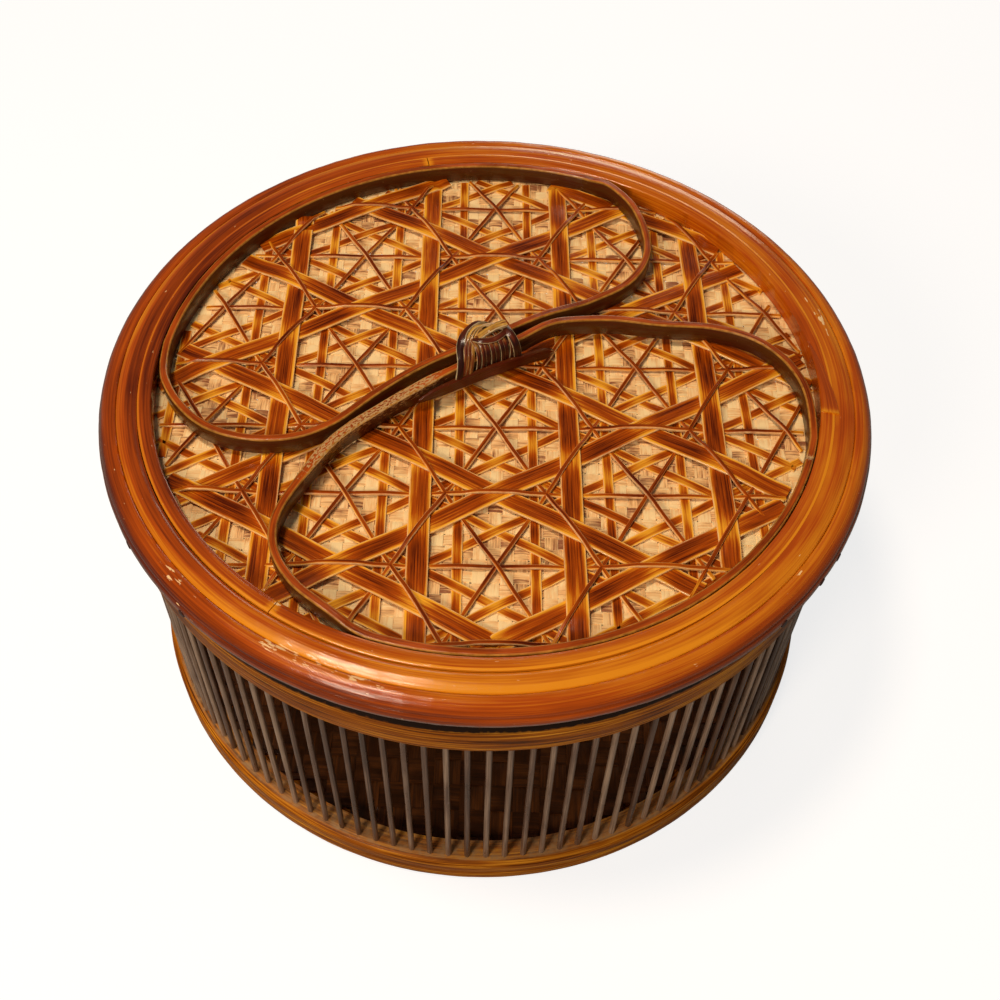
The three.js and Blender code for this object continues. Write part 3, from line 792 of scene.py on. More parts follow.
def lacquered_strip_bamboo(name, look):
    """A wide strip: the lacquer is dark on its long bows and golden where it meets another."""
    return lacquered_cut_bamboo(
        name, look, bpy.context.scene.bamboo_weave.wide, 1.2, 0.44, streak=(18, 18, 0.35),
        streak_share=1.0, blotch_share=0.7, tone_share=0.26, bias=-0.14, glow=0.42,
    )


def lacquered_medium_bamboo(name, look):
    """A medium strip, finished as the wide ones are but with narrower pale edges."""
    return lacquered_cut_bamboo(
        name, look, bpy.context.scene.bamboo_weave.medium, 0.7, 0.34, streak=(14, 14, 0.3),
        streak_share=0.8, blotch_share=0.8, tone_share=0.28, bias=-0.14, glow=0.42,
    )


def lacquered_stick_bamboo(name, look):
    """A thin stick: nearly all dark lacquer, with a pale line where its corner was cut."""
    return lacquered_cut_bamboo(
        name, look, bpy.context.scene.bamboo_weave.stick, 0.4, 0.18, streak=(18, 18, 0.3),
        streak_share=0.8, blotch_share=0.6, tone_share=0.3, bias=-0.18,
    )


def bare_mat_bamboo(name, look):
    """The mat's thin strips: bare pale bamboo, dry, with brown fibres and stained patches."""
    width = 0.92 * bpy.context.scene.bamboo_lid.mat_pitch
    return split_bamboo(
        name, (look.mat_brown, look.mat_light, look.mat_pale), streak=(9, 9, 0.4),
        streak_share=1.3, blotch=(6, 6, 2.2), blotch_share=1.1, tone_share=0.5, bias=-0.02,
        edge_colour=look.mat_pale, edge_share=cut_edges(width, 0.2), roughness=0.5, coat=0.03,
        relief_mm=0.14,
    )


def stained_floor_bamboo(name, look):
    """The floor's broad strips: dark brown stain with a dull gloss."""
    return split_bamboo(
        name, (look.grime, look.floor_brown, look.floor_light), streak=(20, 20, 0.5),
        streak_share=0.8, blotch_share=0.9, roughness=0.45, coat=0.1,
    )


def stained_rod_bamboo(name, look):
    """A rod: split bamboo scraped round, stained grey-brown, with a silky gloss along it."""
    return split_bamboo(
        name, (look.rod_dark, look.rod_mid, look.rod_light), streak=(20, 20, 0.3),
        tone_share=0.4, bias=-0.16, specular=0.4, relief_mm=0.03,
    )


def dark_peg_bamboo(name, look):
    """The end grain of a bamboo peg, which soaks up stain and looks nearly black."""
    return split_bamboo(name, (look.knot_dark, look.knot_dark, look.rim_dark), roughness=0.5)


def rib_corners(tree, grain):
    """The two upper corners of a rib, where hands have rubbed its lacquer through."""
    sizes = bpy.context.scene.bamboo_handle
    section = node(tree, "SeparateXYZ", {"Vector": grain}).outputs
    beside = calculated(tree, "ABSOLUTE", section["Y"])
    outside = past_edge(tree, beside, sizes.rib_thick / 2, -0.5, -0.2)
    upper = past_edge(tree, section["Z"], sizes.rib_height, -0.6, -0.25)
    return product(tree, outside, upper, 0.75)


def lacquered_rib_bamboo(name, look):
    """A rib on edge: dark red lacquer on its top, brown walls, and gold rubbed at its corners."""
    return split_bamboo(
        name, (look.rib_wall, look.strip_dark, look.rim_mid), streak=(20, 0.5, 0.5),
        streak_share=0.8, blotch=(14, 4, 4), blotch_share=0.7, tone_share=0.45, bias=-0.22,
        edge_colour=look.rib_gold, edge_share=rib_corners, wear=0.06, wear_colour=look.rib_worn,
        flake=(0.9, 0.3, 0.3), coat=0.12, relief_mm=0.1,
    )


def lacquered_lashing_bamboo(name, look):
    """A fine split strand of the lashing: dark in the middle, golden and rough at its edges."""
    width = bpy.context.scene.bamboo_handle.strand
    return split_bamboo(
        name, (look.knot_dark, look.knot_mid, look.knot_gold), streak=(8, 8, 0.25),
        streak_share=1.0, blotch=(6, 6, 3), blotch_share=0.6, tone_share=0.6, bias=-0.2,
        edge_colour=look.knot_edge, edge_share=cut_edges(width, 0.13),
    )


# Weaving


# How far a strip is golden round a crossing, and how much its face is cambered for its width
GOLD_REACH = 3.6 * MM
CAMBER = 0.02


def woven_line(name, start, end, wide, thick, stations, flat, tones, seed, step, **bar):
    """A woven strip from start to end in plan, over and under as its stations say.

    A station is a (place, level) pair measured along the line from its start, and tones are the
    places where the strip is golden. Its face is cambered a little.
    """
    direction = end - start
    long = direction.length
    piece = flat_bar(name, long, wide, thick, max(2, round(long / step)), seed, **bar)
    if tones:
        lay(piece, "tone", lambda p: max(bell((p.x - place) / GOLD_REACH) for place in tones))
    camber, half = CAMBER * wide, wide / 2
    for vertex in piece.data.vertices:
        crown = camber * (1 - (vertex.co.y / half) ** 2)
        vertex.co.z += level_between(stations, flat, vertex.co.x) + crown
    piece.rotation_euler.z = math.atan2(direction.y, direction.x)
    piece.location = (start.x, start.y, 0)
    return settled(piece)


def brown_patches(point):
    """1 where the mat's strips lie with their brown skin side up, and 0 elsewhere."""
    return eased((mathutils.noise.noise(point / (9 * MM)) - 0.02) / 0.25)


def plain_weave(name, radius, top, pitch, thick, chance, cover=0.93, browned=0.0):
    """Two layers of strips at right angles, each over one and under the next."""
    wide = cover * pitch
    low, high = top - 2 * thick - 0.1 * MM, top - thick
    count = int(radius / pitch)
    layers = []
    for direction in (0, 1):
        strips = []
        for i in range(-count, count + 1):
            offset = i * pitch + chance.uniform(-0.5, 0.5) * (pitch - wide)
            if abs(offset) + wide / 2 >= radius:
                continue
            half = math.sqrt(radius**2 - (abs(offset) + wide / 2) ** 2)
            reach = int(half / pitch) + 2
            stations = [
                (half + k * pitch, high if (i + k + direction) % 2 else low)
                for k in range(-reach, reach + 1)
            ]
            ends = [(offset, x) if direction else (x, offset) for x in (-half, half)]
            strip = woven_line(
                f"{name}_{direction}_{i}", *map(Vector, ends),
                wide * chance.uniform(1 - (1 - cover) / 2, 1), thick, stations, 0.2 * pitch, (),
                chance.random() * 20, pitch / 4, across=1,
            )
            tone = chance.uniform(0.3, 1.0) if direction else chance.uniform(0.0, 0.8)
            lay(strip, "tone", lambda p: tone - browned * brown_patches(p))
            strips.append(strip)
        layers.append(joined(f"{name}_{'xy'[direction]}", strips))
    return layers


# Directions of the star weave's strips and of its sticks, in degrees
FAMILIES = (90, 30, 150)
STICK_FAMILIES = (0, 60, 120)
# How unevenly the strips are cut off, and the length of their mesh steps
RAGGED_END = STRIP_STEP = 1.2 * MM
# The stretch at each end that droops to the mat, how far past its ends a crossing still colours
# a strip, and how near the inner hoop a line may run
DROOP, NEAR_END, LAST_LINE = 4 * MM, 6 * MM, 4 * MM
# Columns and rows of stars that are tried for a stick, and stars along it
STAR_GRID = range(-6, 7)
STAR_RUN = range(-3, 4)


class StarWeave:
    """The plan of the star weave: families of lines turned together on the lid."""

    def __init__(self, scene):
        sizes = scene.bamboo_weave
        self.radius = PANEL_RADIUS - scene.bamboo_lid.inner_wall
        self.pitch = sizes.star_share * self.radius
        self.spacing = self.pitch * math.sqrt(3) / 2
        self.origin = Vector((sizes.star_x_share, sizes.star_y_share)) * self.radius
        self.turn = sizes.turn

    def family(self, degrees):
        """Direction and normal of a family of lines."""
        angle = math.radians(degrees) + self.turn
        along = Vector((math.cos(angle), math.sin(angle)))
        return along, Vector((-along.y, along.x))

    def lines(self, degrees, first, spacing):
        """Distances from the lid's axis of a family's lines."""
        start = self.origin.dot(self.family(degrees)[1]) + first
        count = int(2 * self.radius / spacing)
        found = [start + i * spacing for i in range(-count, count + 1)]
        return [offset for offset in found if abs(offset) < self.radius - LAST_LINE]

    def crossing(self, degrees, offset, other_degrees, other_offset):
        """Where a line meets another family's line, as a distance along the first."""
        along, across = self.family(degrees)
        other_across = self.family(other_degrees)[1]
        return (other_offset - offset * other_across.dot(across)) / other_across.dot(along)

    def reach(self, place):
        """How far out a strip may go there: to the inner hoop, or to a rib that hugs it."""
        angle = math.degrees(math.atan2(place.y, place.x))
        by_upper = 66 < angle <= 180 or angle < -178
        by_lower = -112 < angle < -8
        return self.radius - (2.6 * MM if by_upper or by_lower else 0.2 * MM)

    def ends(self, degrees, offset, chance, ragged):
        """The two ends of a line on the lid."""
        along, across = self.family(degrees)
        ends = []
        for side in (-1, 1):
            limit = self.radius
            for _ in range(3):
                half = math.sqrt(max(0.0, limit**2 - offset**2))
                limit = self.reach(across * offset + along * half * side)
            half = math.sqrt(max(0.0, limit**2 - offset**2)) - chance.uniform(0, ragged)
            ends.append(across * offset + along * half * side)
        return ends

    def strips(self, name, first, spacing, size, low, high, foot, chance, flat, **bar):
        """A family's strips for each direction, over the next family's and under the last one's.

        first and spacing place the lines, size is a strip's width and thickness, low and high
        are its levels at crossings, and foot that of its ends.
        """
        lines = {degrees: self.lines(degrees, first, spacing) for degrees in FAMILIES}
        families = []
        for i, degrees in enumerate(FAMILIES):
            crossed = ((FAMILIES[(i + 1) % 3], high), (FAMILIES[(i + 2) % 3], low))
            strips = []
            for k, offset in enumerate(lines[degrees]):
                start, end = self.ends(degrees, offset, chance, RAGGED_END)
                begun, long = start.dot(self.family(degrees)[0]), (end - start).length
                stations = sorted(
                    (self.crossing(degrees, offset, other, other_offset) - begun, level)
                    for other, level in crossed
                    for other_offset in lines[other]
                )
                tones = [place for place, _ in stations if -NEAR_END < place < long + NEAR_END]
                strip = woven_line(
                    f"{name}_{degrees}_{k}", start, end, *size, drooping(stations, long, foot),
                    flat, tones, chance.random() * 20, STRIP_STEP, **bar,
                )
                strips.append(strip)
            families.append(strips)
        return families


def drooping(stations, long, foot):
    """Stations with both ends of the strip brought down to the mat."""
    inside = [(place, level) for place, level in stations if DROOP < place < long - DROOP]
    return [(0.0, foot), *inside, (long, foot)]


# Operators


class BAMBOO_OT_base_hoop(bpy.types.Operator):
    """Turns the base hoop with its ledge for the floor"""

    bl_idname = "bamboo.base_hoop"
    bl_label = "Base hoop"

    def execute(self, context):
        body = context.scene.bamboo_body
        outer, height = outer_radius("rod_cage"), body.base_height
        inner = outer - body.base_wall
        ledge = inner - body.ledge_width
        foot, brow, groove = 0.9 * MM, 1.1 * MM, 0.15 * MM
        outline = [
            (ledge, 0), (outer - foot, 0), (outer, foot), (outer, height * 0.45),
            (outer - groove, height * 0.5), (outer, height * 0.55), (outer, height - brow),
            (outer - brow, height), (inner, height), (inner, body.ledge_height),
            (ledge, body.ledge_height),
        ]
        hoop = turned_ring("base_hoop", outline, rounding=0.3 * MM)
        roughened(hoop, 0.12, 6, 1)
        for vertex in hoop.data.vertices:
            vertex.co.z = max(0.0, vertex.co.z)
        dress(smoothed(hoop), "box_body", ["rod_cage"], dusty_base_bamboo)
        return {"FINISHED"}


class BAMBOO_OT_side_rods(bpy.types.Operator):
    """Stands the rods round the box between its two hoops"""

    bl_idname = "bamboo.side_rods"
    bl_label = "Side rods"

    def execute(self, context):
        body = context.scene.bamboo_body
        chance = random.Random(3)
        foot = body.base_height - body.rod_socket
        head = levels("top_hoop")[0] + body.rod_socket
        ring = outer_radius("rod_cage") - body.rod_inset
        model = added(
            "rod", bpy.ops.mesh.primitive_cylinder_add, vertices=12, radius=body.rod_width / 2,
            depth=head - foot, location=(0, 0, (foot + head) / 2),
        )
        settled(model)
        rods = []
        for i in range(body.rods):
            rod = model.copy()
            rod.data = model.data.copy()
            context.scene.collection.objects.link(rod)
            shift = seeded(chance.random() * 20)
            lay(rod, "grain", lambda p: (p.z, shift, math.atan2(p.y, p.x) * p.xy.length))
            tone = chance.uniform(0, 1)
            lay(rod, "tone", lambda p: tone)
            lean = chance.uniform(-0.25, 0.25) * MM
            for vertex in rod.data.vertices:
                vertex.co.y += lean * (vertex.co.z - foot) / (head - foot)
                vertex.co.x += ring
            rod.rotation_euler.z = body.first_rod + FULL_TURN * i / body.rods
            rods.append(settled(rod))
        bpy.data.objects.remove(model)
        side = joined("side_rods", rods)
        dress(side, "box_body", ["rod_cage"], stained_rod_bamboo)
        return {"FINISHED"}


class BAMBOO_OT_upper_hoop(bpy.types.Operator):
    """Turns the body's upper hoop with its sloping shoulder"""

    bl_idname = "bamboo.upper_hoop"
    bl_label = "Upper hoop"

    def execute(self, context):
        body = context.scene.bamboo_body
        outer = outer_radius("top_hoop")
        low, high = levels("top_hoop")
        inner = outer - body.top_wall
        outline = [
            (inner, low), (outer - 1.2 * MM, low), (outer - 0.3 * MM, low + 0.6 * MM),
            (outer, low + 1.8 * MM), (outer, high - body.shoulder_drop),
            (outer - body.shoulder_in, high), (inner, high),
        ]
        hoop = turned_ring("upper_hoop", outline, rounding=0.35 * MM)
        # A painted reflection of the pale table greys the lower edge, laid on as flaking
        edge_top, edge_in, rubbed = low + 0.9 * MM, outer - 1.4 * MM, 1.7
        lay(hoop, "flaked", lambda p: rubbed * (p.z < edge_top and p.xy.length > edge_in))
        roughened(hoop, 0.12, 6, 2)
        dress(smoothed(hoop), "box_body", ["top_hoop"], grimy_upper_bamboo)
        return {"FINISHED"}


class BAMBOO_OT_floor(bpy.types.Operator):
    """Weaves the floor from broad strips"""

    bl_idname = "bamboo.floor"
    bl_label = "Woven floor"

    def execute(self, context):
        body = context.scene.bamboo_body
        radius, top = outer_radius("floor_mat"), levels("floor_mat")[1]
        size = (body.floor_pitch, body.floor_strip)
        chance = random.Random(5)
        for layer in plain_weave("floor_strips", radius, top, *size, chance, cover=0.995):
            dress(layer, "box_body", ["floor_mat"], stained_floor_bamboo)
        return {"FINISHED"}


HOOP_STEPS = 420
# The outer hoop's roll is drawn in steps, and the row of pegs runs along one of them
ROLL_STEPS, PEG_STEP = 14, 4


class BAMBOO_OT_rim_hoops(bpy.types.Operator):
    """Turns the lid's three nested hoops"""

    bl_idname = "bamboo.rim_hoops"
    bl_label = "Rim hoops"

    def execute(self, context):
        lid = context.scene.bamboo_lid
        hoops = (self.outer_hoop(lid), self.middle_hoop(lid), *self.inner_hoop(lid), self.lap(lid))
        nodes = ("outer_hoop", "middle_hoop", "inner_hoop_1", "inner_hoop_2", "inner_hoop_2")
        for hoop, replaced in zip(hoops, nodes):
            dress(hoop, "lid", [f"lid_{replaced}"], lacquered_rim_bamboo)
        return {"FINISHED"}

    def outer_hoop(self, lid):
        """The rolled hoop, with a groove scratched along the row of pegs."""
        widest = outer_radius("lid_outer_hoop")
        inner = widest - lid.outer_wall
        shoulder, waist = RIM_TOP - lid.outer_drop, LID_UNDERSIDE + lid.outer_foot
        centre = inner + lid.outer_flat
        outline = [
            (inner, LID_UNDERSIDE), (widest - lid.outer_foot, LID_UNDERSIDE),
            (widest - 0.7 * MM, LID_UNDERSIDE + 0.5 * MM),
        ]
        for step in range(ROLL_STEPS + 1):
            angle = math.radians(90 * step / ROLL_STEPS)
            notch = 0.35 * MM if step == PEG_STEP else 0.0
            reach = (widest - centre) * math.cos(angle) - notch
            outline.append((centre + reach, waist + (shoulder - waist) * math.sin(angle)))
        outline += [(inner + 0.3 * MM, shoulder), (inner, shoulder - 0.35 * MM)]
        hoop = turned_ring("outer_hoop", outline, HOOP_STEPS)
        belly, fade = waist + 3.2 * MM, 3 * MM

        # Painted shade and light: the roll is coloured dark below its belly and paler over its
        # top.
        def tone(p):
            return 0.05 + 0.75 * eased((p.z - belly) / fade) - 0.4 * darker_left(p)

        lay(hoop, "tone", tone)
        flakes = ((-115, 1, 9), (-104, 0.5, 7), (-136, 2, 5))
        lay_flakes(hoop, [(at, inner + out * MM, reach) for at, out, reach in flakes])
        roughened(hoop, 0.18, 7, 3)
        roughened(hoop, 0.08, 2, 4)
        return smoothed(hoop, 50)

    def middle_hoop(self, lid):
        """The middle hoop, grooved along its inner edge and sloping down to the outer hoop."""
        outer = outer_radius("lid_middle_hoop") + SEAT_GAP * 0.9
        inner = outer - lid.middle_wall
        golden, groove = outer - lid.middle_slope, inner + lid.groove_width
        fallen, floor = RIM_TOP - lid.middle_fall, RIM_TOP - lid.groove_depth
        outline = [
            (inner, LID_UNDERSIDE), (outer, LID_UNDERSIDE), (outer, fallen - 0.3 * MM),
            (outer - 0.25 * MM, fallen), (outer - 0.5 * MM, RIM_TOP - lid.middle_fall * 0.88),
            (golden + 0.4 * MM, RIM_TOP - lid.middle_fall * 0.16), (golden, RIM_TOP - 0.04 * MM),
            (groove + 0.6 * MM, RIM_TOP), (groove, RIM_TOP - 0.1 * MM), (inner + 0.2 * MM, floor),
            (inner, floor),
        ]
        hoop = turned_ring("middle_hoop", outline, HOOP_STEPS)
        for vertex in hoop.data.vertices:
            if abs(vertex.co.z - floor) < 0.01 * MM:
                filled = closed_up(vertex.co)
                vertex.co.z += 0.85 * lid.groove_depth * filled
                vertex.co.xy *= 1 - 0.3 * MM * filled / vertex.co.xy.length

        # Painted highlight: the outer slope is coloured golden, less so on the right where lacquer
        # fills the groove.
        def tone(p):
            gold = 0.8 * eased((p.xy.length - golden) / MM) * (1 - 0.7 * closed_up(p))
            return 0.55 + gold - 0.6 * darker_left(p) + 0.3 * paler_front(p)

        lay(hoop, "tone", tone)
        flakes = ((-113, 0, 8), (15, 2, 9), (78, 1.5, 8))
        lay_flakes(hoop, [(at, outer - within * MM, reach) for at, within, reach in flakes])
        roughened(hoop, 0.15, 7, 5)
        roughened(hoop, 0.07, 2, 6)
        return smoothed(hoop, 60)

    def inner_hoop(self, lid):
        """The inner hoop's two lengths, butted at two joints, where each end is pale and chipped.

        They come in the order of their CAD nodes, the left-hand one first.
        """
        inner, outer = PANEL_RADIUS - lid.inner_wall, PANEL_RADIUS + SEAT_GAP * 0.3
        low = PANEL_TOP + SEAT_GAP
        outline = [
            (inner, low), (outer, low), (outer, RIM_TOP - 0.1 * MM), (outer - 0.4 * MM, RIM_TOP),
            (outer - 0.75 * MM, RIM_TOP), (inner + 0.3 * MM, RIM_TOP),
            (inner, RIM_TOP - 0.25 * MM),
        ]
        slit, pale = lid.joint_slit / inner, 1.2 * MM
        first, second = lid.joint_one, lid.joint_two
        arcs = [(first, second - first), (second, FULL_TURN - (second - first))]
        arcs.sort(key=lambda arc: math.cos(arc[0] + arc[1] / 2))
        hoops = []
        for i, (start, sweep) in enumerate(arcs, 1):
            steps, ends = round(300 * sweep / FULL_TURN), (start, start + sweep)
            arc = (start + slit / 2, sweep - slit)
            hoop = turned_ring(f"inner_hoop_{i}", outline, steps, *arc)

            def tone(p):
                shade = 0.5 - 0.5 * darker_left(p) + 0.25 * paler_front(p)
                # Painted highlight: a pale line along the top's outer edge, where it catches the
                # light.
                shade += 0.8 * eased((p.xy.length - outer + 0.7 * MM) / (0.3 * MM))
                return shade + sum(bell(arc_to(p, end) / pale) for end in ends)

            lay(hoop, "tone", tone)
            lay_flakes(hoop, [(math.degrees(end), inner + 1.4 * MM, 1.6) for end in ends])
            roughened(hoop, 0.12, 7, 6 + i)
            hoops.append(smoothed(hoop, 50))
        return hoops

    def lap(self, lid):
        """The inner hoop's thin lapped end, which lies over the hoops on the right."""
        inner = PANEL_RADIUS - lid.inner_wall
        outer = inner + lid.lap_width
        bottom, top = RIM_TOP - 0.1 * MM, RIM_TOP + lid.lap_thick
        outline = [
            (inner, bottom), (outer, bottom), (outer, top - 0.15 * MM), (outer - 0.3 * MM, top),
            (inner + 0.3 * MM, top),
        ]
        lap = turned_ring("inner_hoop_lap", outline, 40, lid.lap_angle, lid.lap_sweep)
        for vertex in lap.data.vertices:
            radius = vertex.co.xy.length
            thinned = (math.atan2(vertex.co.y, vertex.co.x) - lid.lap_angle) / lid.lap_sweep
            vertex.co.xy *= (inner + (radius - inner) * (1 - 0.9 * thinned)) / radius
            vertex.co.z = bottom + (vertex.co.z - bottom) * (1 - thinned * 0.7)
        lay(lap, "tone", lambda p: 0.45 + 0.8 * bell(arc_to(p, lid.lap_angle) / MM))
        roughened(lap, 0.1, 3, 10)
        return smoothed(lap, 50)


def closed_up(point):
    """1 on the right of the lid, where lacquer fills the groove, and 0 round the rest."""
    return eased((math.cos(math.atan2(point.y, point.x) - 0.15) - 0.3) / 0.5)


def paler_front(point):
    """1 at the front of the lid, where its hoops' lacquer is thin and orange."""
    return eased((-point.y / point.xy.length - 0.5) / 0.5)


def darker_left(point):
    """1 on the left of the lid, where its hoops are stained darker, and 0 on its right."""
    return eased((-point.x / point.xy.length - 0.1) / 0.8)


class BAMBOO_OT_locating_hoop(bpy.types.Operator):
    """Turns the hoop under the lid that drops into the box"""

    bl_idname = "bamboo.locating_hoop"
    bl_label = "Locating hoop"

    def execute(self, context):
        outer = outer_radius("lid_locating_hoop")
        inner = outer - context.scene.bamboo_lid.locating_wall
        low, high = levels("lid_locating_hoop")
        outline = [(inner, low), (outer, low), (outer, high), (inner, high)]
        hoop = turned_ring("locating_hoop", outline, rounding=0.4 * MM)
        smoothed(roughened(hoop, 0.1, 6, 9))
        dress(hoop, "lid", ["lid_locating_hoop"], stained_body_bamboo)
        return {"FINISHED"}


class BAMBOO_OT_rim_pegs(bpy.types.Operator):
    """Sets a bamboo peg in each hole of the outer hoop"""

    bl_idname = "bamboo.rim_pegs"
    bl_label = "Rim pegs"

    def execute(self, context):
        lid = context.scene.bamboo_lid
        depth = lid.outer_wall - SEAT_GAP
        reach = outer_radius("lid_outer_hoop") + 0.15 * MM - depth / 2
        for name in sorted(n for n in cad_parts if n.startswith("rim_peg")):
            low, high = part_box(name)
            middle = (low + high) / 2
            angle = math.atan2(middle.y, middle.x)
            peg = added(
                f"{name}_end", bpy.ops.mesh.primitive_cylinder_add, vertices=20,
                radius=lid.peg_width / 2, depth=depth,
            )
            bevelled(peg, 0.2 * MM, 2)
            lay(peg, "grain", lambda p: (p.x, p.y, p.x))
            peg.rotation_euler = (0, math.pi / 2, angle)
            peg.location = (math.cos(angle) * reach, math.sin(angle) * reach, middle.z)
            dress(smoothed(settled(peg)), "lid", [name], dark_peg_bamboo)
        return {"FINISHED"}


class BAMBOO_OT_mat(bpy.types.Operator):
    """Weaves the fine mat under the star weave"""

    bl_idname = "bamboo.mat"
    bl_label = "Woven mat"

    def execute(self, context):
        lid = context.scene.bamboo_lid
        size = (PANEL_RADIUS - SEAT_GAP, PANEL_TOP, lid.mat_pitch, lid.mat_strip)
        for layer in plain_weave("mat_strips", *size, random.Random(7), browned=0.55):
            dress(layer, "lid", ["lid_panel"], bare_mat_bamboo)
        return {"FINISHED"}


class BAMBOO_OT_wide_strips(bpy.types.Operator):
    """Weaves the wide strips, each family over the next and under the one after"""

    bl_idname = "bamboo.wide_strips"
    bl_label = "Wide strips"

    def execute(self, context):
        sizes = context.scene.bamboo_weave
        plan = StarWeave(context.scene)
        low = WEAVE_TOP - 2 * sizes.wide_thick - 0.1 * MM
        families = plan.strips(
            "wide", plan.spacing / 2, plan.spacing, (sizes.wide, sizes.wide_thick), low,
            WEAVE_TOP - sizes.wide_thick, PANEL_TOP + 0.4 * MM, random.Random(11), 3 * MM,
            across=5, rounding=0.1 * MM,
        )
        for family, strips in zip("abc", families):
            piece = joined(f"wide_strips_{family}", strips)
            nodes = [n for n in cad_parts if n.startswith(f"wide_strip_{family}")]
            dress(piece, "lid", nodes, lacquered_strip_bamboo)
        return {"FINISHED"}


class BAMBOO_OT_medium_strips(bpy.types.Operator):
    """Weaves the medium strips that draw the stars, under the wide ones"""

    bl_idname = "bamboo.medium_strips"
    bl_label = "Medium strips"

    def execute(self, context):
        sizes = context.scene.bamboo_weave
        plan = StarWeave(context.scene)
        low = PANEL_TOP + 0.05 * MM
        families = plan.strips(
            "medium", plan.spacing / 4, plan.spacing / 2, (sizes.medium, sizes.medium_thick), low,
            low + sizes.medium_thick + 0.05 * MM, low, random.Random(13), 1.5 * MM, across=3,
        )
        piece = joined("medium_strips", [strip for strips in families for strip in strips])
        dress(piece, "lid", ["lid_panel"], lacquered_medium_bamboo)
        return {"FINISHED"}


class BAMBOO_OT_sticks(bpy.types.Operator):
    """Lays the thin sticks that cross in the middle of each star"""

    bl_idname = "bamboo.sticks"
    bl_label = "Sticks"

    def execute(self, context):
        sizes = context.scene.bamboo_weave
        plan = StarWeave(context.scene)
        chance = random.Random(17)
        base = PANEL_TOP + 0.1 * MM
        sticks = []
        for layer, degrees in enumerate(STICK_FAMILIES):
            along, across = plan.family(degrees)
            heights = self.heights(base + 0.3 * MM, layer, plan.spacing)
            for k, offset in enumerate(plan.lines(degrees, 0.0, plan.pitch / 2)):
                start, end = plan.ends(degrees, offset, chance, 2 * MM)
                star, first = self.star_place(plan, along, across, offset), start.dot(along)
                stations = []
                for turn in STAR_RUN:
                    middle = star + turn * 2 * plan.spacing - first
                    stations += [(middle + place, level) for place, level in heights]
                stations = drooping(sorted(stations), (end - start).length, base)
                tones = [place for place, level in stations if level < base + 0.2 * MM]
                stick = woven_line(
                    f"stick_{degrees}_{k}", start, end, sizes.stick * chance.uniform(0.85, 1.1),
                    sizes.stick_height, stations, 0.0, tones, chance.random() * 20, 1.5 * MM,
                    rounding=0.22 * MM,
                )
                sticks.append(stick)
        piece = joined("sticks", sticks)
        dress(piece, "lid", ["lid_panel"], lacquered_stick_bamboo)
        return {"FINISHED"}

    def star_place(self, plan, along, across, offset):
        """Where a stick's line runs through the star nearest its middle, along the line."""
        up, side = plan.family(90)
        through = []
        for column, row in itertools.product(STAR_GRID, STAR_GRID):
            star = plan.origin - side * column * plan.spacing
            star = star + up * (row + (column % 2) / 2) * plan.pitch
            if abs(star.dot(across) - offset) < MM:
                through.append(star.dot(along))
        if not through:
            raise RuntimeError("a stick's line runs through no star")
        return min(through, key=abs)

    def heights(self, base, layer, spacing):
        """A stick's levels from one star's middle to the next, over and under the wide strips."""
        over_wide = WEAVE_TOP + 0.05 * MM
        half = [
            (0.25 * spacing, base + 0.3 * MM), (0.5 * spacing, base - 0.3 * MM),
            (0.75 * spacing, base + 0.6 * MM), (0.9 * spacing, over_wide - 0.1 * MM),
        ]
        falling = [(-place, level) for place, level in reversed(half)]
        return [*falling, (0.0, base + layer * 0.6 * MM), *half, (spacing, over_wide)]


# Outline of the handle, as shares of the radius of the arcs that hug the inner hoop. They are
# the CAD ribs' own.
UPPER_RIB_ARC = [math.radians(degrees) for degrees in (176, 72)]
UPPER_RIB_SHARES = [
    (0.449, 0.818), (0.504, 0.664), (0.506, 0.523), (0.444, 0.397), (0.319, 0.301),
    (0.183, 0.22), (-0.012, 0.083), (-0.195, -0.032), (-0.329, -0.133), (-0.456, -0.262),
    (-0.56, -0.316), (-0.685, -0.326), (-0.81, -0.289), (-0.909, -0.203), (-0.975, -0.09),
]
LOWER_RIB_ARC = [math.radians(degrees) for degrees in (-13, -106)]
LOWER_RIB_SHARES = [
    (-0.383, -0.9), (-0.49, -0.817), (-0.557, -0.708), (-0.564, -0.602), (-0.508, -0.455),
    (-0.43, -0.314), (-0.307, -0.191), (-0.183, -0.102), (-0.018, 0.012), (0.093, 0.094),
    (0.207, 0.182), (0.365, 0.221), (0.541, 0.208), (0.708, 0.201), (0.832, 0.157),
    (0.91, 0.084), (0.963, -0.03),
]
ARC_POINTS = 9
RIB_STEPS = 420
# The lower rib's ends meet in the open, and the upper one's under the lashing
LOWER_RIB_SEAM = math.radians(-17.5)
# The stretch before the knot where the lower rib's top is worn bare: from and to on X
WORN_FROM, WORN_TO = -46 * MM, -9 * MM


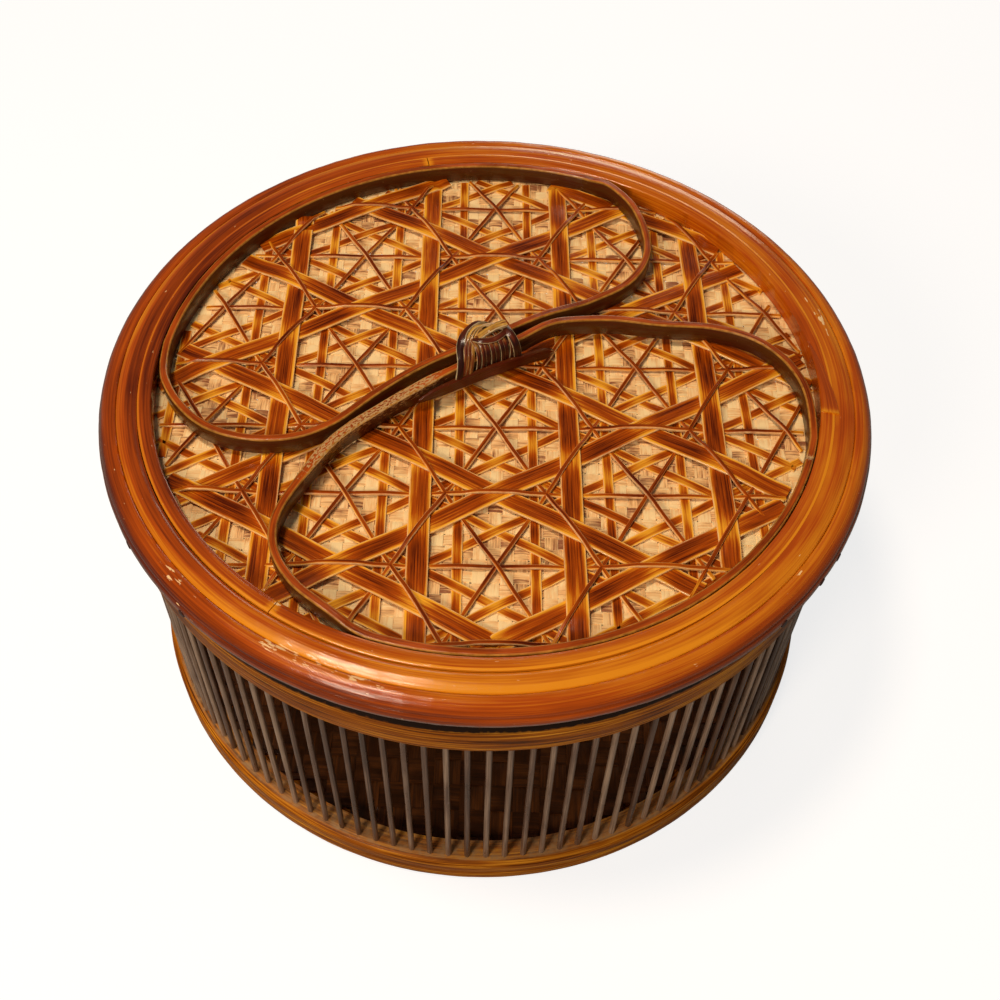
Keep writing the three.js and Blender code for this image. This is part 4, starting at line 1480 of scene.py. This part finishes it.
class Handle:
    """Places on the handle, worked out as the CAD ribs are."""

    def __init__(self, scene):
        self.sizes = sizes = scene.bamboo_handle
        woven = PANEL_RADIUS - scene.bamboo_lid.inner_wall
        self.rim_radius = woven - SEAT_GAP - sizes.rib_thick / 2
        self.climb_end = woven - 5.5 * MM + sizes.rib_thick / 2 + SEAT_GAP
        self.knot = Vector((sizes.knot_x_share, sizes.knot_y_share)) * self.rim_radius
        self.reach = sizes.knot_reach_share * self.rim_radius
        self.foot = PANEL_TOP + SEAT_GAP
        self.bed = WEAVE_TOP + SEAT_GAP
        self.middle = self.bed + sizes.rib_rise + sizes.rib_height / 2
        self.slope = Vector((math.cos(sizes.knot_turn), math.sin(sizes.knot_turn)))

    def level(self, place):
        """How high a rib's lower edge stands at a place on the lid."""
        out = eased((place.length - self.climb_end) / (self.rim_radius - self.climb_end))
        lifted = math.exp(-(((place - self.knot).length / self.reach) ** 4))
        return self.foot + (self.bed - self.foot) * (1 - out) + self.sizes.rib_rise * lifted

    def on_rim(self, angle):
        return Vector((math.cos(angle), math.sin(angle))) * self.rim_radius

    def route(self, arc, shares, seam):
        """A closed line along a rib's lower edge, from the seam where its two ends meet."""
        step = (arc[1] - arc[0]) / (ARC_POINTS - 1)
        places = [self.on_rim(arc[0] + step * i) for i in range(ARC_POINTS)]
        places += [Vector(pair) * self.rim_radius for pair in shares]
        line = []
        for place in catmull_rom(places, RIB_STEPS):
            place = place * min(1.0, self.rim_radius / place.length)
            line.append(Vector((*place, self.level(place))))
        first = min(range(RIB_STEPS), key=lambda i: (line[i].xy - seam).length)
        return line[first:] + line[:first]

    def knot_point(self, along, across, up):
        """A point of the knot: along the ribs, across them, and up from the ribs' middle."""
        place = self.knot + self.slope * along + Vector((-self.slope.y, self.slope.x)) * across
        return Vector((*place, self.middle + up))

    def axis_beside(self, point):
        """The place on the knot's own axis that is level along the ribs with a point."""
        return self.knot_point((point.xy - self.knot).dot(self.slope), 0, MM)


class BAMBOO_OT_ribs(bpy.types.Operator):
    """Bends the two looped ribs round the lid"""

    bl_idname = "bamboo.ribs"
    bl_label = "Handle ribs"

    def execute(self, context):
        handle = Handle(context.scene)
        thick, high = handle.sizes.rib_thick, handle.sizes.rib_height
        routes = {
            "upper": (UPPER_RIB_ARC, UPPER_RIB_SHARES, handle.knot),
            "lower": (LOWER_RIB_ARC, LOWER_RIB_SHARES, handle.on_rim(LOWER_RIB_SEAM)),
        }
        for i, (which, route) in enumerate(routes.items()):
            line = handle.route(*route)
            long = polyline_length(line, cyclic=True)
            across = {"across": 4, "rounding": 0.3 * MM}
            rib = flat_bar(f"rib_{which}", long, thick, high, RIB_STEPS, i + 1, **across)
            lay(rib, "grain", tuple)
            lay(rib, "tone", lambda p: 1.0 if p.z > high - 0.1 * MM else 0.0)
            if which == "lower":
                self.wear_down(rib, line, high, long)
            bent_along(rib, line, cyclic=True)
            smoothed(roughened(rib, 0.25, 4, 20 + i), 50)
            dress(rib, "lid", [f"handle_rib_{which}"], lacquered_rib_bamboo)
        return {"FINISHED"}

    def worn(self, place):
        """How worn a place on the lower rib is, from 0 to 1."""
        if place.y < 0.55 * WORN_FROM - 20 * MM:
            return 0.0
        return eased((place.x - WORN_FROM) / (6 * MM)) * eased((WORN_TO - place.x) / (6 * MM))

    def wear_down(self, rib, line, high, long):
        """Flattens and bares the top of a rib where it is worn, and bares its two ends."""
        flaked = []
        for vertex in rib.data.vertices:
            amount = self.worn(line[round(vertex.co.x / long * RIB_STEPS) % RIB_STEPS])
            up = eased(vertex.co.z / high * 2 - 1)
            vertex.co.y *= 1 + 0.4 * amount * up
            from_seam = min(vertex.co.x, long - vertex.co.x)
            flaked.append((1.15 * amount + 1.6 * bell(from_seam / MM)) * up)
        put_attribute(rib, "flaked", flaked)


# Strands of the lashing that cross its turns, each a line of (along, across, up) places in mm
# from the knot's middle. The dark one comes up at the left, and the golden ones arch beside it.
DARK_STRAND = [
    (-10.4, -4.7, -3.0), (-9.8, -4.9, 0.4), (-8.4, -3.2, 3.4), (-6.7, 0.4, 4.8), (-4.7, 2.8, 6.0),
    (-2.6, 3.9, 6.8), (0.0, 4.5, 6.9), (2.4, 4.8, 5.2), (3.6, 4.9, 1.5),
]
GOLDEN_STRAND = [
    (-8.9, -4.7, -1.5), (-8.4, -4.7, 1.2), (-7.2, -3.2, 3.6), (-5.4, 0.0, 5.1), (-3.4, 2.1, 6.3),
    (-1.4, 2.9, 7.2), (1.2, 2.7, 7.3), (3.4, 2.2, 6.3), (5.2, 2.4, 4.2),
]
ACROSS_STRAND = [
    (-3.6, 2.6, 3.6), (-2.8, 0.6, 5.4), (-1.4, -1.0, 5.9), (1.6, -1.7, 5.7), (4.6, -1.2, 5.9),
    (6.6, 0.2, 5.5), (7.6, 2.2, 3.8),
]
STUB = [(-1.5, 1.0, 5.4), (1.5, 1.3, 6.1), (4.2, 1.3, 6.7), (6.8, 1.0, 7.0)]
# The golden strands lie side by side, each this much lower than the one before, in mm
GOLDEN_STRANDS = 3
GOLDEN_FALL = 0.22
TURN_STEPS = 56
# The turn that closes the collar: its place along the ribs, lean, width and spread
END_TURN = (6.9 * MM, -1.2 * MM, 2.1 * MM, 0.7 * MM)


class BAMBOO_OT_lashing(bpy.types.Operator):
    """Winds the lashing round both ribs, with the strands and the stub that lean over it"""

    bl_idname = "bamboo.lashing"
    bl_label = "Lashing"

    def execute(self, context):
        handle = Handle(context.scene)
        sizes = handle.sizes
        chance = random.Random(23)
        turns = []
        for i in range(sizes.turns):
            along = sizes.first_turn + i * sizes.turn_pitch
            lean = chance.uniform(-0.4, 0.9) * MM
            spread = (0.3 * (i % 2) + chance.uniform(0, 0.2)) * MM
            turns.append(self.turn(handle, along, lean, sizes.strand, spread, i, (-0.1, 0.45)))
        collar = [
            self.turn(handle, *END_TURN, 24, (-0.35, 0.35)),
            self.laid(handle, "dark_strand", DARK_STRAND, 2.2, 0.6, 20, (-0.4, 0.3)),
        ]
        for i in range(GOLDEN_STRANDS):
            places = [(x + i, across, up - GOLDEN_FALL * i) for x, across, up in GOLDEN_STRAND]
            tones = (0.35 - 0.2 * (i % 2), 0.35)
            collar.append(self.laid(handle, f"golden_{i}", places, 0.95, 0.5, 21 + i, tones))
        collar.append(self.laid(handle, "across", ACROSS_STRAND, 1.4, 0.8, 30, (0.0, 0.1)))
        stub = self.laid(handle, "stub", STUB, 2.5, 1.0, 31, (0.45, 0.25))
        collar.append(roughened(stub, 0.5, 1, 31))
        for name, strands, replaced in (
            ("binding_turns", turns, "handle_binding"), ("collar_turns", collar, "handle_collar"),
        ):
            piece = joined(name, strands)
            dress(piece, "lid", [replaced], lacquered_lashing_bamboo)
        return {"FINISHED"}

    def turn(self, handle, along, lean, wide, spread, seed, tones):
        """One closed turn of flat strand, whose top leans along the ribs."""
        sizes = handle.sizes
        half_wide = sizes.lashing_half + spread
        half_high = (sizes.lashing_rise + sizes.lashing_drop) / 2 + spread
        middle = (sizes.lashing_rise - sizes.lashing_drop) / 2
        line, outward = [], []
        for i in range(TURN_STEPS + 1):
            angle = FULL_TURN * i / TURN_STEPS
            parts = (math.cos(angle), math.sin(angle))
            across, up = (math.copysign(abs(part) ** 0.75, part) for part in parts)
            shift = lean * (up + across * 0.6) / 2
            beside = (along + shift, across * half_wide, middle + up * half_high)
            line.append(handle.knot_point(*beside))
            outward.append(line[-1] - handle.knot_point(along + shift, 0, middle))
        line[-1] = line[0].copy()
        strand = ribbon(f"turn_{seed}", line, outward, wide, sizes.strand_thick, seed, True)
        return self.gilded(strand, handle.middle + middle + half_high, 1.5 * MM, tones)

    def laid(self, handle, name, places, wide_mm, thick_mm, seed, tones):
        """An open strand laid through (along, across, up) places of the knot, in millimetres."""
        points = [handle.knot_point(*(mm * MM for mm in place)) for place in places]
        line = catmull_rom(points, 6 * len(points), cyclic=False)
        outward = [point - handle.axis_beside(point) for point in line]
        strand = ribbon(name, line, outward, wide_mm * MM, thick_mm * MM, seed)
        return self.gilded(strand, max(point.z for point in line), 3 * MM, tones)

    def gilded(self, strand, top, depth, tones):
        """Lays a strand's usual tone, and what it has more of gold down to a depth."""
        low, more = tones
        lay(strand, "tone", lambda p: low + more * eased((p.z - top + depth) / depth))
        return strand


SPLINT_STEPS, SPLINT_POINTS = 48, 30


class BAMBOO_OT_splint(bpy.types.Operator):
    """Shapes the splint that is held before the lashing"""

    bl_idname = "bamboo.splint"
    bl_label = "Splint"

    def execute(self, context):
        handle = Handle(context.scene)
        sizes = handle.sizes
        long, high = sizes.splint_long, sizes.splint_high
        size = (long, sizes.splint_thick, high)
        bar = flat_bar("splint", *size, SPLINT_STEPS, 9, rounding=0.25 * MM)
        lay(bar, "grain", tuple)
        lay(bar, "tone", lambda p: 0.1 + 0.3 * p.z / high)
        blunt, tip = long - 2.5 * MM, 4 * MM
        lay(bar, "flaked", lambda p: 0.15 + eased((p.x - blunt) / (2 * MM)))
        for vertex in bar.data.vertices:
            ends = (vertex.co.x / (3 * tip), (long - vertex.co.x) / tip)
            fullness = math.prod(math.sqrt(max(0.04, 1 - (1 - min(1.0, s)) ** 2)) for s in ends)
            vertex.co.z = high / 2 + (vertex.co.z - high / 2) * fullness
            vertex.co.y *= 0.4 + 0.6 * fullness
        beside = sizes.lashing_half + sizes.strand_thick + sizes.splint_thick / 2
        line = []
        for place in (i / SPLINT_POINTS for i in range(SPLINT_POINTS + 1)):
            outward = beside + MM * (1 - min(1.0, place / 0.4)) ** 2
            droop = sizes.splint_drop + 1.6 * MM * max(0.0, (place - 0.6) / 0.4) ** 2
            line.append(handle.knot_point((place - 0.55) * long, -outward, -droop))
        bent_along(bar, line)
        smoothed(roughened(bar, 0.25, 3, 32))
        dress(bar, "lid", ["handle_splint"], lacquered_rib_bamboo)
        return {"FINISHED"}


# The camera of the photograph, from the fit of the hoops' outlines to a box 200 mm across
CAMERA_PLACE = Vector((4.464, -224.16, 335.13)) * MM
CAMERA_TILT = math.radians(37.586)
CAMERA_ROLL = 0.0389
CAMERA_LENS_MM = 44.79
CAMERA_SENSOR_MM = 36.0
# Each lamp's place, width and watts
LAMPS = {
    "top_lamp": ((-0.26, -0.06, 1.07), 0.2, 5.2),
    "back_lamp": ((0.2, 0.95, 0.3), 0.5, 2.0),
    "front_lamp": ((-0.4, -0.7, 0.66), 0.26, 4.6),
}
LAMP_TARGET = Vector((0, 0, 0.08))
# What the table adds to its own light for the camera, and how bright the room is for the camera
# and for everything else
TABLE_GLOW = 0.78
ROOM_SEEN, ROOM_LIGHT = 1.0, 0.1
WHITE = (1, 1, 1, 1)


class BAMBOO_OT_stage(bpy.types.Operator):
    """Sets the camera, the lamps, the surroundings and the white table"""

    bl_idname = "bamboo.stage"
    bl_label = "Stage"

    def execute(self, context):
        scene = context.scene
        self.camera(scene)
        self.table(scene)
        self.surroundings(scene)
        for name, (place, width, watts) in LAMPS.items():
            self.lamp(scene, name, place, width, watts)
        scene.view_settings.view_transform = "Standard"
        return {"FINISHED"}

    def camera(self, scene):
        data = bpy.data.cameras.new("camera")
        data.sensor_width = CAMERA_SENSOR_MM
        data.lens = CAMERA_LENS_MM
        data.clip_start = 0.01
        scene.camera = bpy.data.objects.new("camera", data)
        scene.collection.objects.link(scene.camera)
        turn = Matrix.Rotation(CAMERA_TILT, 4, "X") @ Matrix.Rotation(CAMERA_ROLL, 4, "Z")
        scene.camera.matrix_world = Matrix.Translation(CAMERA_PLACE) @ turn

    def lamp(self, scene, name, place, width, watts):
        data = bpy.data.lights.new(name, "AREA")
        data.color = scene.bamboo_finish.warm_light[:3]
        data.shape = "DISK"
        data.size = width
        data.energy = watts
        lamp = bpy.data.objects.new(name, data)
        scene.collection.objects.link(lamp)
        lamp.location = place
        lamp.rotation_euler = (LAMP_TARGET - Vector(place)).to_track_quat("-Z", "Y").to_euler()

    def seen_by_eye(self, tree):
        """1 for rays from the camera. The box has no metal or glass to mirror the white."""
        return node(tree, "LightPath").outputs["Is Camera Ray"]

    def table(self, scene):
        floor = added("table", bpy.ops.mesh.primitive_plane_add, size=6, location=(0, 0, 0))
        material, tree = started("plain_white_table")
        seen = self.seen_by_eye(tree)
        colour = scene.bamboo_finish.table
        diffuse = node(tree, "BsdfDiffuse", {"Color": colour}).outputs["BSDF"]
        strength = calculated(tree, "MULTIPLY", seen, TABLE_GLOW)
        glow = node(tree, "Emission", {"Color": WHITE, "Strength": strength}).outputs["Emission"]
        both = node(tree, "AddShader", {0: diffuse, 1: glow}).outputs["Shader"]
        node(tree, "OutputMaterial", {"Surface": both})
        floor.data.materials.append(material)

    def surroundings(self, scene):
        scene.world = bpy.data.worlds.new("pale_room")
        scene.world.use_nodes = True
        tree = scene.world.node_tree
        tree.nodes.clear()
        span = {"Value": self.seen_by_eye(tree), "To Min": ROOM_LIGHT, "To Max": ROOM_SEEN}
        strength = node(tree, "MapRange", span).outputs["Result"]
        lit = {"Color": WHITE, "Strength": strength}
        background = node(tree, "Background", lit).outputs["Background"]
        node(tree, "OutputWorld", {"Surface": background})


OPERATORS = (
    BAMBOO_OT_base_hoop,
    BAMBOO_OT_side_rods,
    BAMBOO_OT_upper_hoop,
    BAMBOO_OT_floor,
    BAMBOO_OT_rim_hoops,
    BAMBOO_OT_locating_hoop,
    BAMBOO_OT_rim_pegs,
    BAMBOO_OT_mat,
    BAMBOO_OT_medium_strips,
    BAMBOO_OT_wide_strips,
    BAMBOO_OT_sticks,
    BAMBOO_OT_ribs,
    BAMBOO_OT_lashing,
    BAMBOO_OT_splint,
    BAMBOO_OT_stage,
)


class BAMBOO_PT_panel(bpy.types.Panel):
    """Lists the box's sizes and the steps that build it"""

    bl_idname = "BAMBOO_PT_panel"
    bl_label = "Bamboo Box"
    bl_space_type = "VIEW_3D"
    bl_region_type = "UI"
    bl_category = "Bamboo Box"

    def draw(self, context):
        for name, group in SETTINGS.items():
            column = self.layout.column(heading=group.__doc__)
            for key in group.__annotations__:
                column.prop(getattr(context.scene, name), key)
        for operator in OPERATORS:
            self.layout.operator(operator.bl_idname)


CLASSES = (*SETTINGS.values(), *OPERATORS, BAMBOO_PT_panel)


def register():
    for made in CLASSES:
        bpy.utils.register_class(made)
    for name, group in SETTINGS.items():
        setattr(bpy.types.Scene, name, PointerProperty(type=group))


def unregister():
    for name in SETTINGS:
        delattr(bpy.types.Scene, name)
    for made in reversed(CLASSES):
        bpy.utils.unregister_class(made)


def main():
    register()
    for operator in OPERATORS:
        group, name = operator.bl_idname.split(".")
        getattr(getattr(bpy.ops, group), name)()


if __name__ == "__main__":
    main()
